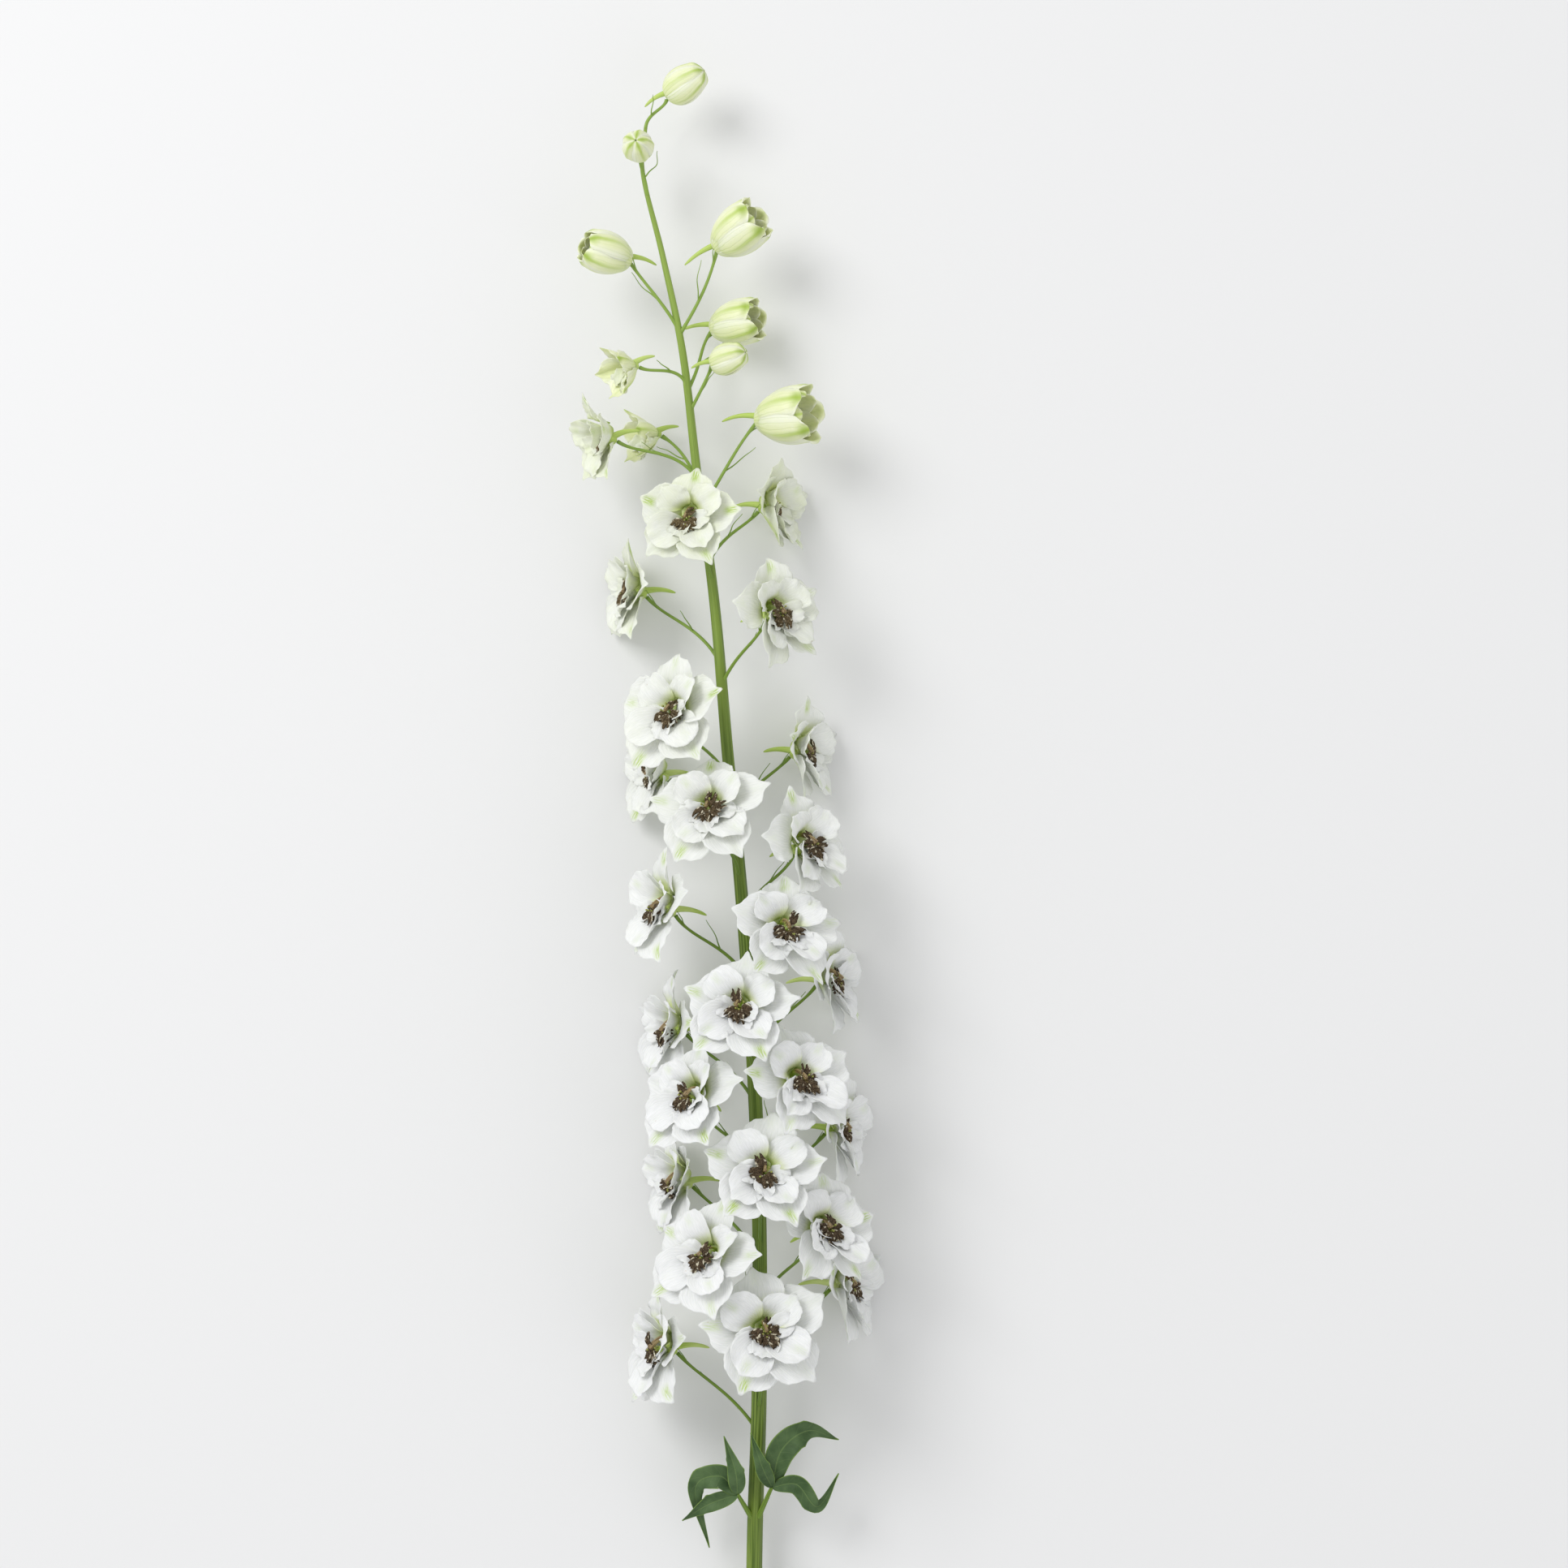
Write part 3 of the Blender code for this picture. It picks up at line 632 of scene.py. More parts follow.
def petal_surface(plan):
    """A petal's middle surface in the flower's own frame.

    The middle line leaves the base at angle rise above the face plane and turns to angle tip, by
    a power of the way along, and its end bends by angle reflex too. Across, the blade is an arc
    that wraps round the flower where the petal stands up. It is twisted so that one edge lies
    over the next petal, and waves grow towards its margin."""
    u, x, t, edge, round_edge = petal_outline(plan)
    steps = np.linspace(0, 1.1, 45)
    angles = plan["rise"] + (plan["tip"] - plan["rise"]) * steps**0.85
    angles += plan["reflex"] * np.clip((steps - 0.62) / 0.38, 0, 1) ** 1.5
    reach, climb = walk(plan["start"], plan["length"], steps, angles)
    angle, r, z = (np.interp(t, steps, column) for column in (angles, reach, climb))
    side = 0.5 * plan["width"] * x
    bend = np.clip(np.sin(angle), 0, 1) / np.maximum(r, 2.2)
    bend = bend + (0.018 + plan["cup"]) * np.abs(np.cos(angle))
    lift = (1 - np.cos(side * bend)) / bend
    side = np.sin(side * bend) / bend + plan["sway"] * plan["length"] * t**2
    lift += side * math.tan(plan["twist"])
    lift += plan["wave"] * t**1.5 * x**2 * np.sin(2.4 * np.pi * t + 1.9 * x + plan["phase"])
    p = plan["phases"]
    frill = np.sin(4 * round_edge + p[2]) + 0.7 * np.sin(7 * round_edge + p[3])
    frill += 0.45 * np.sin(12 * round_edge + p[4])
    lift += plan["ruffle"] * edge**4 * frill * 0.8
    lift += 0.36 * t * np.sin(9 * x + p[5]) * (1 - x**2)
    lift += 0.45 * np.sin(np.pi * t) * np.sin(4.5 * x + 3 * t + p[0])
    lift -= plan["keel"] * np.exp(-((x / 0.13) ** 2)) * t
    lift += plan["pinch"] * np.clip((t - 0.72) / 0.28, 0, 1) ** 2 * (3.0 * np.abs(x) - 0.4)
    r, z = r - np.sin(angle) * lift, z + np.cos(angle) * lift
    place = turned(plan["round"], r, side, z)
    place[..., :2] += plan["shift"] * ((1 - t) ** 2)[..., None]
    return place, u, t, edge


def blade(grid, u, t, edge, thick, look, finish=0):
    """A thin closed skin: the grid moved half its thickness to each side, and a rim between them.

    The thickness falls to a third at the margin. The first value of look is 0 on the face that
    looks towards +normal and 1 on the back."""
    along, across = np.gradient(grid, axis=0), np.gradient(grid, axis=1)
    normal = unit(np.cross(across, along) + 1e-9)
    half = normal * (0.5 * thick * (1 - 0.66 * edge[..., None] ** 3))
    rows, columns = u.shape
    points = np.concatenate([(grid + half).reshape(-1, 3), (grid - half).reshape(-1, 3)])
    index = np.arange(rows * columns).reshape(rows, columns)
    ring = np.concatenate([index[0, :-1], index[:-1, -1], index[-1, :0:-1], index[:0:-1, 0]])
    shift = rows * columns
    front = grid_faces(rows, columns)
    back = front[:, ::-1] + shift
    after = np.roll(ring, -1)
    rim = np.stack([ring, ring + shift, after + shift, after], -1)
    uv = np.stack([0.5 + 0.5 * u, t], -1).reshape(-1, 2)
    looks = np.tile(np.array(look, float), (2 * shift, 1))
    looks[shift:, 0] = 1.0
    return {
        "points": points, "faces": np.concatenate([front, back, rim]),
        "uv": np.concatenate([uv, uv]), "look": looks, "finish": finish,
    }


def small_petals(flower, count, longer, lowest, finish):
    """The small petals round a flower's centre, made longer where the flower is a bell."""
    parts = []
    for index in range(count):
        plan = small_plan(flower, index, count)
        plan["length"] *= longer
        grid, u, t, edge = petal_surface(plan)
        grid = settle(flower.world(grid), flower.slide, lowest)
        look = (0, 0.15, flower.greenness, 0.4)
        parts.append(blade(grid, u, t, edge, SMALL_PETAL_THICK, look, finish))
    return parts


def spur_and_foot(flower, length):
    """The spur, a hollow horn that goes back and turns down a little, and the foot of the flower.

    The foot is the rounded green top of the stalk, which every petal grows from."""
    hook = flower.rng.uniform(-0.25, 0.25)
    t = np.linspace(0, 1, 18)
    sideways, back = hook * length * 0.5 * t**2, 1.6 + 0.10 * length * np.sin(2.6 * t)
    local = np.stack([sideways, back, -0.2 - length * t], -1)
    radii = (2.1 - 1.35 * t**0.8) * (0.75 + 0.25 * min(1, flower.size / 50))
    radii[-3:] *= (0.95, 0.8, 0.45)
    look = (0, 0, flower.greenness, 0)
    spur = tube(flower.world(local), radii, SPUR_SIDES, finish=1, look=look)
    level = np.linspace(0, 1, 9)
    local = np.stack([0 * level, 0 * level, -2.7 + 5.6 * level], -1)
    radii = 3.1 * np.sin(np.pi * (0.12 + 0.62 * level)) ** 0.8
    return [spur, tube(flower.world(local), radii, 20, finish=1, ridges=5, depth=0.06)]


def throat_cup(flower):
    """The green hollow that leads into the spur: a small flared cup, its wall turned back.

    The radius grows by a power of the way up, inside and again outside a little lower."""
    up = np.concatenate([np.linspace(0, 1, 8), np.linspace(1, 0, 8)])
    outside = np.concatenate([np.zeros(8), np.ones(8)])
    path = np.stack([0 * up, CUP_PLACE + 0 * up, -1.2 + 4.4 * up - 0.35 * outside], -1)
    turn = np.linspace(0, 2 * math.pi, 24, endpoint=False)
    radii = CUP_FOOT + (CUP_RADIUS - CUP_FOOT) * up**1.6 + CUP_WALL * outside
    ring = np.stack([np.cos(turn), 1.15 * np.sin(turn), 0 * turn], -1)
    points = path[:, None] + ring[None] * radii[:, None, None]
    points[0], points[-1] = path[0] + 0.02 * ring, path[-1] + 0.02 * ring
    grid = settle(flower.world(points.reshape(-1, 3)), flower.slide, 2.0)
    uv = np.stack(np.broadcast_arrays(turn[None, :] / (2 * math.pi), 0.22 * up[:, None]), -1)
    return {
        "points": grid,
        "faces": grid_faces(len(up), len(turn), closed=True)[:, ::-1],
        "uv": uv.reshape(-1, 2),
        # With throat 1 the cup takes the petal skin's green foot, darkest at its bottom as painted
        # shade of the hollow.
        "look": np.tile((0.0, 0.0, flower.greenness, 1.0), (len(grid), 1)),
        "finish": 0,
    }


def flower_parts(flower, inner):
    """The five sepals of a flower and its inner petals, with its throat, its foot and its spur."""
    parts = [throat_cup(flower)] if flower.open > THROAT_OPENS else []
    for whorl, count in enumerate((SEPALS, inner)):
        for index in range(count):
            plan = petal_plan(flower, whorl, index, count)
            grid, u, t, edge = petal_surface(plan)
            lowest = LOWEST_PETAL + LAYER_STEP * plan["layer"]
            grid = settle(flower.world(grid), flower.slide, lowest)
            throat = 0.35 + 0.65 * max(math.cos(plan["round"]), 0.0)
            fleck = (1 - 0.65 * whorl) * flower.fine.choice((0.15, 0.6, 1.0, 1.15))
            parts.append(blade(grid, u, t, edge, PETAL_THICK, (0, fleck, flower.greenness, throat)))
    return parts + spur_and_foot(flower, 0.26 * flower.size + 5)


def vein_lines():
    """A node group: thin lines that fan out along a petal or a sepal.

    The lines are the valleys of the sine of the place across times their number, with a slow noise
    that bends them, and they fade where the blade ends."""
    tree = bpy.data.node_groups.new("vein_lines", "ShaderNodeTree")
    for name in ("Across", "Along", "Number", "Wander"):
        tree.interface.new_socket(name, in_out="INPUT", socket_type="NodeSocketFloat")
    tree.interface.new_socket("Lines", in_out="OUTPUT", socket_type="NodeSocketFloat")
    given = tree.nodes.new("NodeGroupInput").outputs
    group = Nodes(tree)
    place = tree.nodes.new("ShaderNodeCombineXYZ")
    group.put(given["Across"], place.inputs[0])
    group.put(given["Along"], place.inputs[1])
    drift = group.maths("SUBTRACT", group.noise(place.outputs[0], 3.5), 0.5)
    bent = group.maths("ADD", given["Across"], group.times(drift, given["Wander"]))
    wave = group.maths("ABSOLUTE", group.maths("SINE", group.times(bent, given["Number"])))
    lines = group.times(group.ramp(wave, 0.45, 0.0), group.ramp(given["Along"], 1.0, 0.7))
    group.put(lines, tree.nodes.new("NodeGroupOutput").inputs["Lines"])
    return tree


VEIN_LINES = vein_lines()


def add_veins(skin, number, wander):
    """The fanned lines of the node group above, placed in a material."""
    node = skin.tree.nodes.new("ShaderNodeGroup")
    node.node_tree = VEIN_LINES
    skin.put(skin.across, node.inputs["Across"])
    skin.put(skin.along, node.inputs["Along"])
    skin.put(number, node.inputs["Number"])
    skin.put(wander, node.inputs["Wander"])
    return node.outputs["Lines"]


def petal_skin():
    """White petal tissue, yellow-green at its base, with a green fleck near each sepal's tip."""
    skin = Skin("white_petal_skin", 0.55, 0.25, (1.0, 1.0, 0.8), 0.0025, 0.35)
    side, along = skin.from_midrib(), skin.along
    veins = add_veins(skin, 41.0, 0.26)
    fibre = skin.noise(skin.map, detail=4.0, stretch=(46.0, 5.0, 1.0))
    cloud = skin.noise(skin.place, 110.0, 3.0)
    white = skin.blend(skin.ramp(fibre, 0.25, 0.75), PETAL_SHADE, PETAL_WHITE)
    white = skin.blend(skin.times(veins, 0.16), white, VEIN_GREEN)
    white = skin.blend(skin.times(skin.young, skin.times(cloud, 1.2)), white, YOUNG_GREEN)
    reach = skin.times_plus(fibre, 0.20, skin.times_plus(skin.throat, 0.42, 0.04))
    base = skin.ramp(skin.maths("SUBTRACT", along, reach), 0.0, -0.34)
    base = skin.times(base, skin.times_plus(veins, 0.30, 0.62))
    colour = skin.blend(base, white, THROAT_GREEN)
    # Painted shade: the innermost foot of each blade and the bottom of the throat's cup turn a
    # deeper green, for the hollow's shadow as well as its own green.
    depth = skin.times(skin.ramp(along, 0.20, 0.04), skin.throat)
    colour = skin.blend(depth, colour, THROAT_DEEP_GREEN_AND_SHADE)
    near_tip = skin.times(skin.ramp(along, 0.56, 0.80), skin.ramp(along, 0.98, 0.86))
    fleck = skin.times(skin.ramp(side, 0.36, 0.0), near_tip)
    streaked = skin.times(skin.ramp(fibre, 0.30, 0.66), skin.times_plus(cloud, 2.2, 0.1))
    strength = skin.times_plus(skin.young, 0.3, skin.times_plus(skin.back, 0.35, 0.75))
    fleck = skin.times(fleck, streaked, strength, skin.fleck)
    colour = skin.blend(fleck, colour, FLECK_GREEN)
    keel = skin.times(skin.ramp(side, 0.34, 0.0), skin.ramp(along, 0.95, 0.35))
    keel = skin.times(keel, skin.back, skin.fleck, 0.7)
    colour = skin.blend(keel, colour, KEEL_GREEN)
    mark = skin.ramp(skin.noise(skin.place, 260.0), 0.72, 0.78)
    blemish = skin.times(mark, skin.ramp(along, 0.72, 0.95), 0.5)
    colour = skin.blend(blemish, colour, BLEMISH_BROWN)
    cells = skin.noise(skin.place, 1400.0)
    height = skin.times_plus(veins, -0.22, skin.times(cells, 0.30))
    return skin.done(colour, skin.times_plus(fibre, 1.1, height), 0.35, 0.0006)


white_petal = petal_skin()
green_horn = stem_skin(
    "spur_green_skin", light=(0.54, 0.66, 0.17), dark=(0.32, 0.47, 0.06),
    low=(0.62, 0.71, 0.28), tip=(0.50, 0.64, 0.16))
for number, flower in enumerate(opened, 1):
    parts = flower_parts(flower, inner=4 if abs(flower.round) < FACES_UP else 3)
    count = 3 if flower.size > LARGE_FLOWER else 2
    parts += small_petals(flower, count, 1.0, SMALL_PETAL_LEVEL, finish=0)
    petals = piece_from(f"flower_{number:02d}_white_petals", parts, [white_petal, green_horn])
    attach(petals, "root")
    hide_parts(f"flower_{number:02d}_petals")


# Dark centres
# In the throat stand crumpled brown lobes with cream edges, in two or three clumps. A beige tube
# comes forward out of the spur to the uppermost of them. Between them are thin yellow-green
# stamens and three green carpels. All of it is soft tissue that grows from the flower's foot.
LOBE_ACROSS = 11
LOBE_ROWS = 17
LOBE_TURNS = (203, 172, 142, 232, 98, 262, 24, 336)
LOBE_THICK = 0.5
CENTRE_SEED = 900
CENTRE_LEVEL = 3.8
CENTRE_LOWEST = 6.0
TUBE_LOWEST = 7.0
TUBE_START = 1.4
STAMENS = 10
CARPELS = 3
BROWN_DEEP = (0.028, 0.018, 0.011)
BROWN_LIGHT = (0.13, 0.090, 0.055)
OLIVE_DEEP = (0.075, 0.055, 0.022)
OLIVE_LIGHT = (0.24, 0.185, 0.085)
CLAW_BROWN = (0.20, 0.13, 0.05)
CLAW_BEIGE = (0.42, 0.34, 0.14)
EDGE_CREAM = (0.70, 0.65, 0.50)
TUBE_BROWN = (0.13, 0.075, 0.03)
TUBE_BEIGE = (0.42, 0.32, 0.15)
TUBE_GREEN = (0.42, 0.52, 0.08)


def lobe(flower, turn, scale, fine, start, length, rise, tip, width):
    """A crumpled lobe on a narrow claw: a strip that stands up, then bends to lie almost flat.

    Its end is cut by a deep notch and smaller ones, and sines of unlike length crumple it."""
    u, v = blade_grid(LOBE_ROWS, LOBE_ACROSS)
    p = fine.uniform(0, 2 * math.pi, 5)
    notch = fine.uniform(0.20, 0.34) * np.exp(-((u / 0.24) ** 2))
    notch = notch + 0.07 * np.cos(9 * u + p[3]) + 0.10 * u**4
    t = v * (1 - notch * v**4)
    steps = np.linspace(0, 1, 41)
    angles = rise + (tip - rise) * np.clip((steps - 0.40) / 0.22, 0, 1)
    reach, climb = walk(start, length, steps, angles)
    angle, r, z = (np.interp(t, steps, column) for column in (angles, reach, climb))
    half = 0.5 * width * (0.20 + 0.80 * np.sin(0.5 * np.pi * np.clip((t - 0.40) / 0.28, 0, 1)))
    side = half * u * (1 - 0.25 * v**8)
    lift = 0.35 * np.abs(side) + 0.75 * scale * v**2 * np.sin(4 * u + p[0]) * np.sin(10 * t + p[1])
    lift += 0.40 * scale * v**2 * np.sin(16 * t + 7 * u + p[2])
    side = side + 0.35 * scale * v**2 * np.sin(13 * t + p[4])
    local = turned(turn, r - np.sin(angle) * lift, side, z + np.cos(angle) * lift)
    grid = settle(flower.world(local), flower.slide, CENTRE_LOWEST)
    edge = 0.6 * np.maximum(np.abs(u), v**6)
    look = (0, fine.uniform(), flower.greenness, fine.uniform())
    return blade(grid, u, t, edge, LOBE_THICK, look)


def lobe_skin():
    """Chocolate-brown crumpled tissue, olive on a young flower, with cream edges and beige claw."""
    skin = Skin("dark_lobe_skin", 0.7, gloss=0.12)
    patch = skin.noise(skin.place, 520.0, 3.0)
    mottle = skin.noise(skin.place, 1500.0)
    brown = skin.blend(skin.ramp(mottle, 0.35, 0.75), BROWN_DEEP, BROWN_LIGHT)
    olive = skin.blend(skin.ramp(mottle, 0.30, 0.70), OLIVE_DEEP, OLIVE_LIGHT)
    brown = skin.blend(skin.times_plus(skin.young, 0.9, 0.08), brown, olive)
    claw = skin.blend(mottle, CLAW_BROWN, CLAW_BEIGE)
    above_claw = skin.ramp(skin.times_plus(patch, 0.3, skin.along), 0.52, 0.66)
    colour = skin.blend(above_claw, claw, brown)
    cream = skin.times(skin.ramp(skin.from_midrib(), 0.62, 0.95), skin.ramp(patch, 0.50, 0.60))
    return skin.done(skin.blend(cream, colour, EDGE_CREAM), mottle, 0.6, 0.0006)


def thread_skin(name, light, dark, roughness, grain):
    """Living tissue of one colour, with soft mottling along it."""
    skin = Skin(name, roughness, 0.15, (1.0, 1.0, 0.6))
    patch = skin.noise(skin.map, detail=3.0, stretch=(14.0, grain, 1.0))
    return skin.done(skin.blend(skin.ramp(patch, 0.35, 0.65), dark, light), patch, 0.3, 0.0003)


def tube_skin():
    """Beige tissue with brown streaks along it, yellow-green where it comes out of the throat."""
    skin = Skin("beige_tube_skin", 0.5, 0.15, (1.0, 1.0, 0.6))
    streak = skin.noise(skin.map, detail=3.0, stretch=(13.0, 90.0, 1.0))
    beige = skin.blend(skin.ramp(streak, 0.38, 0.62), TUBE_BROWN, TUBE_BEIGE)
    colour = skin.blend(skin.ramp(skin.along, 0.006, 0.001), beige, TUBE_GREEN)
    return skin.done(colour, streak, 0.4, 0.0004)


def outwards(turn):
    """The direction at a turn round a flower's face."""
    return np.array([math.sin(turn), math.cos(turn), 0.0])


def centre_lobes(flower, scale, fine):
    """Six or seven of the eight lobes, at about their own turns round the centre."""
    skipped = (fine.integers(6, 8), fine.integers(4, 8))
    return [
        lobe(flower, math.radians(heading + fine.uniform(-12, 12)), scale, fine,
             start=(fine.uniform(0.3, 1.0), CENTRE_LEVEL), length=scale * fine.uniform(12.5, 16.0),
             rise=math.radians(fine.uniform(74, 86)), tip=math.radians(fine.uniform(-30, 12)),
             width=scale * fine.uniform(4.6, 6.2))
        for index, heading in enumerate(LOBE_TURNS) if index not in skipped
    ]


def beige_tube_part(flower, scale, fine):
    """The tube that bends forward out of the spur, along a curve with three control points."""
    t = np.linspace(0, 1, 14)[:, None]
    lean = fine.uniform(-1.4, 1.4)
    knots = np.array([[0, 7.4, TUBE_START], [0.4 * lean, 7.6, 8.0], [lean, 0.2, 12.6]])
    knots[:, 2] = TUBE_START + (knots[:, 2] - TUBE_START) * scale
    line = (1 - t) ** 2 * knots[0] + 2 * t * (1 - t) * knots[1] + t**2 * knots[2]
    horn = settle(flower.world(line), flower.slide, TUBE_LOWEST)
    return tube(horn, scale * np.linspace(1.0, 1.55, 14), 16, finish=1, ridges=2, depth=0.22)


def stamen(flower, scale, fine):
    """A thin thread that leans outwards as it rises, and the bead of its anther at the end."""
    out = outwards(fine.uniform(0, 2 * math.pi))
    reach = scale * fine.uniform(1.0, 4.4)
    high = 3.9 + scale * fine.uniform(4.0, 8.6)
    t = np.linspace(0, 1, 8)[:, None]
    line = out * (0.6 + (reach - 0.6) * t**1.6) + np.array([0, 0, CENTRE_LEVEL])
    line = line + t * (0, 0, high - CENTRE_LEVEL)
    thread = settle(flower.world(line), flower.slide, CENTRE_LOWEST)
    ahead = unit(thread[-1] - thread[-2])
    bead = thread[-1] + ahead * np.linspace(-0.5, 0.9, 7)[:, None] * scale
    return [
        tube(thread, scale * np.linspace(0.24, 0.16, 8), 6, finish=2),
        tube(bead, scale * 0.62 * np.sin(np.linspace(0.25, 2.9, 7)), 8, finish=3),
    ]


def carpel(flower, scale, index):
    """One of the green carpels: a short tube that swells and closes again by a sine."""
    level = np.linspace(0, 1, 9)[:, None]
    out = outwards(2 * math.pi * index / CARPELS + 0.5)
    line = out * (0.9 + 0.5 * level) * scale + np.array([0, 0, CENTRE_LEVEL])
    line = line + level * (0, 0, 5.4 * scale)
    width = scale * 0.95 * np.sin(np.linspace(0.5, 3.0, 9)) ** 0.8
    return tube(settle(flower.world(line), flower.slide, CENTRE_LOWEST), width, 10, finish=2)


dark_lobe = lobe_skin()
beige_tube = tube_skin()
pale_thread = thread_skin("stamen_skin", (0.52, 0.66, 0.16), (0.36, 0.50, 0.08), 0.5, 300.0)
dark_anther = thread_skin("anther_skin", (0.40, 0.44, 0.10), (0.14, 0.12, 0.03), 0.7, 600.0)
for number, flower in enumerate(opened, 1):
    fine = np.random.default_rng(SPIKE_SEED + CENTRE_SEED + number)
    scale = min(1.0, flower.size / 54) * flower.open**1.3
    parts = centre_lobes(flower, scale, fine)
    parts.append(beige_tube_part(flower, scale, fine))
    for index in range(STAMENS):
        parts += stamen(flower, scale, fine)
    parts += [carpel(flower, scale, index) for index in range(CARPELS)]
    finishes = [dark_lobe, beige_tube, pale_thread, dark_anther]
    centre = piece_from(f"flower_{number:02d}_dark_centre", parts, finishes)
    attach(centre, "root")
    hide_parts(f"flower_{number:02d}_eye")


# Half-open bells and closed buds
# Five pale green sepals are still pressed together, each with its margin over the next, a raised
# green rib down the back and a knobbed darker tip. The bells have parted at the mouth, and paler
# petals show inside. Each has its spur, and sits at the end of its stalk.
BUD_ACROSS = 17
BUD_ROWS = 31
BUD_THICK = 0.5
BUD_LOWEST = 1.0
BELL_PETAL_LOWEST = 3.0
BUD_HALF_TURN = math.radians(47)
BUD_PARTS_FROM = 0.1
BELL_OPENS_FROM = 0.3
BUD_DEEP = (0.78, 0.84, 0.44)
BUD_PALE = (0.88, 0.90, 0.63)
BUD_MARGIN = (0.90, 0.915, 0.78)
BUD_STREAK = (0.50, 0.64, 0.11)
BUD_RIB = (0.40, 0.56, 0.055)
BUD_KNOB = (0.30, 0.44, 0.035)


def bud_sepal(flower, index, wide, long, inner=0):
    """One sepal of a closed bud: a strip of an egg from its base to its tip.

    The width follows a power of the sine of the way up. The strip covers a fifth of the turn and
    an overlap, one margin lies further out than the other, and its middle bulges so that a crease
    is left at each seam. A rib runs down it, a knob stands under its tip, and the tip turns in on
    a bud and out on a bell."""
    u, v = blade_grid(BUD_ROWS, BUD_ACROSS)
    fine = flower.fine
    p = fine.uniform(0, 2 * math.pi, 3)
    parted = min(flower.open / 0.25, 1.0)
    top = 0.992 - (0.17 + fine.uniform(-0.03, 0.03)) * parted
    polar = np.pi * (0.035 + (top - 0.035) * v * (1 - (0.012 + 0.10 * parted) * u**2 * v**3))
    height = -np.cos(polar)
    middle = 2 * math.pi * (index + 0.5 * inner) / SEPALS
    half = BUD_HALF_TURN * (1 - 0.55 * parted * v**6)
    turn = middle + half * u + 0.06 * math.sin(p[2]) * v**3
    fat = wide * (1 + (1.2 * flower.open - 0.13) * height) * (1 - 0.13 * inner)
    fat = fat * (1 - (0.05 + 0.10 * v**2) * u**2) + 0.45 * u - 0.3
    knob = np.exp(-(((v - 0.80 - 0.06 * parted) / 0.085) ** 2) - (u / 0.5) ** 2)
    rib = np.exp(-((u / 0.13) ** 2)) * np.sin(np.pi * v)
    fat = fat + (1 - inner) * (0.40 * rib + 1.3 * knob)
    fat = fat + 0.25 * np.sin(8 * v + p[0]) * u**2
    curl = np.clip((v - 0.80) / 0.20, 0, 1) ** 2
    flare = (3.0 * parted + p[1] * 0.35 * parted) * curl * (1 - 0.6 * inner)
    r = fat * np.sin(polar) ** 0.82 + flare + 0.5 * parted * curl * np.sin(5 * u + p[1])
    z = 0.5 * long * (1 + height) - 2 - 1.5 * inner
    local = np.stack([r * np.sin(turn), r * np.cos(turn), z], -1)
    edge = np.maximum(np.abs(u) ** 2, np.clip(v * 6 - 5, 0, 1))
    grid = settle(flower.world(local), flower.slide, BUD_LOWEST)
    look = (0, 1 - 0.7 * inner, flower.greenness, fine.uniform())
    return blade(grid, u, v, edge, BUD_THICK, look)


def bud_parts(flower):
    """The five sepals of a bud, the inner petals where it has begun to part, and its spur."""
    wide, long = 0.48 * flower.size, (1.21 - 0.6 * flower.open) * flower.size
    parts = [bud_sepal(flower, index, wide, long) for index in range(SEPALS)]
    if flower.open > BUD_PARTS_FROM:
        parts += [bud_sepal(flower, index, wide, long, inner=1) for index in range(SEPALS)]
    return parts + spur_and_foot(flower, 0.7 * flower.size + 1.6)


def bud_skin():
    """Cream-green sepal tissue with a green rib, fine veins and a darker tip and base."""
    skin = Skin("bud_green_skin", 0.45, 0.2, (1.0, 1.0, 0.6), 0.002)
    side, along = skin.from_midrib(), skin.along
    veins = add_veins(skin, 24.0, 0.12)
    cloud = skin.noise(skin.place, 160.0, 3.0)
    colour = skin.blend(cloud, BUD_DEEP, BUD_PALE)
    colour = skin.blend(skin.times(skin.ramp(side, 0.30, 0.85), 0.65), colour, BUD_MARGIN)
    base = skin.times_plus(skin.ramp(along, 0.55, 0.05), 0.85, 0.20)
    streaks = skin.times(skin.times_plus(veins, 0.7, 0.3), base)
    streaks = skin.times(streaks, skin.times_plus(skin.back, 0.5, 0.4))
    colour = skin.blend(streaks, colour, BUD_STREAK)
    outside = skin.times_plus(skin.back, 0.8, 0.2)
    rib = skin.times(skin.ramp(side, 0.26, 0.0), skin.ramp(along, 0.05, 0.85), outside, 0.75)
    colour = skin.blend(rib, colour, BUD_RIB)
    knob = skin.times(skin.ramp(side, 0.75, 0.1), skin.ramp(along, 0.74, 0.90))
    ends = skin.maths("MAXIMUM", knob, skin.ramp(along, 0.16, 0.0))
    colour = skin.blend(skin.times(ends, skin.fleck, outside, 0.78), colour, BUD_KNOB)
    return skin.done(colour, skin.times_plus(veins, -0.6, skin.times(cloud, 0.2)), 0.4, 0.0005)


bud_green = bud_skin()
for kind, family in (("bell", bells), ("bud", buds)):
    for number, flower in enumerate(family, 1):
        if flower.open > BELL_OPENS_FROM:
            parts = flower_parts(flower, inner=0)
            parts += small_petals(flower, 3, 1.5, BELL_PETAL_LOWEST, finish=2)
        else:
            parts = bud_parts(flower)
        sepals = piece_from(f"{kind}_{number}_sepals", parts, [bud_green, green_horn, white_petal])
        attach(sepals, "root")
        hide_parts(f"{kind}_{number}")


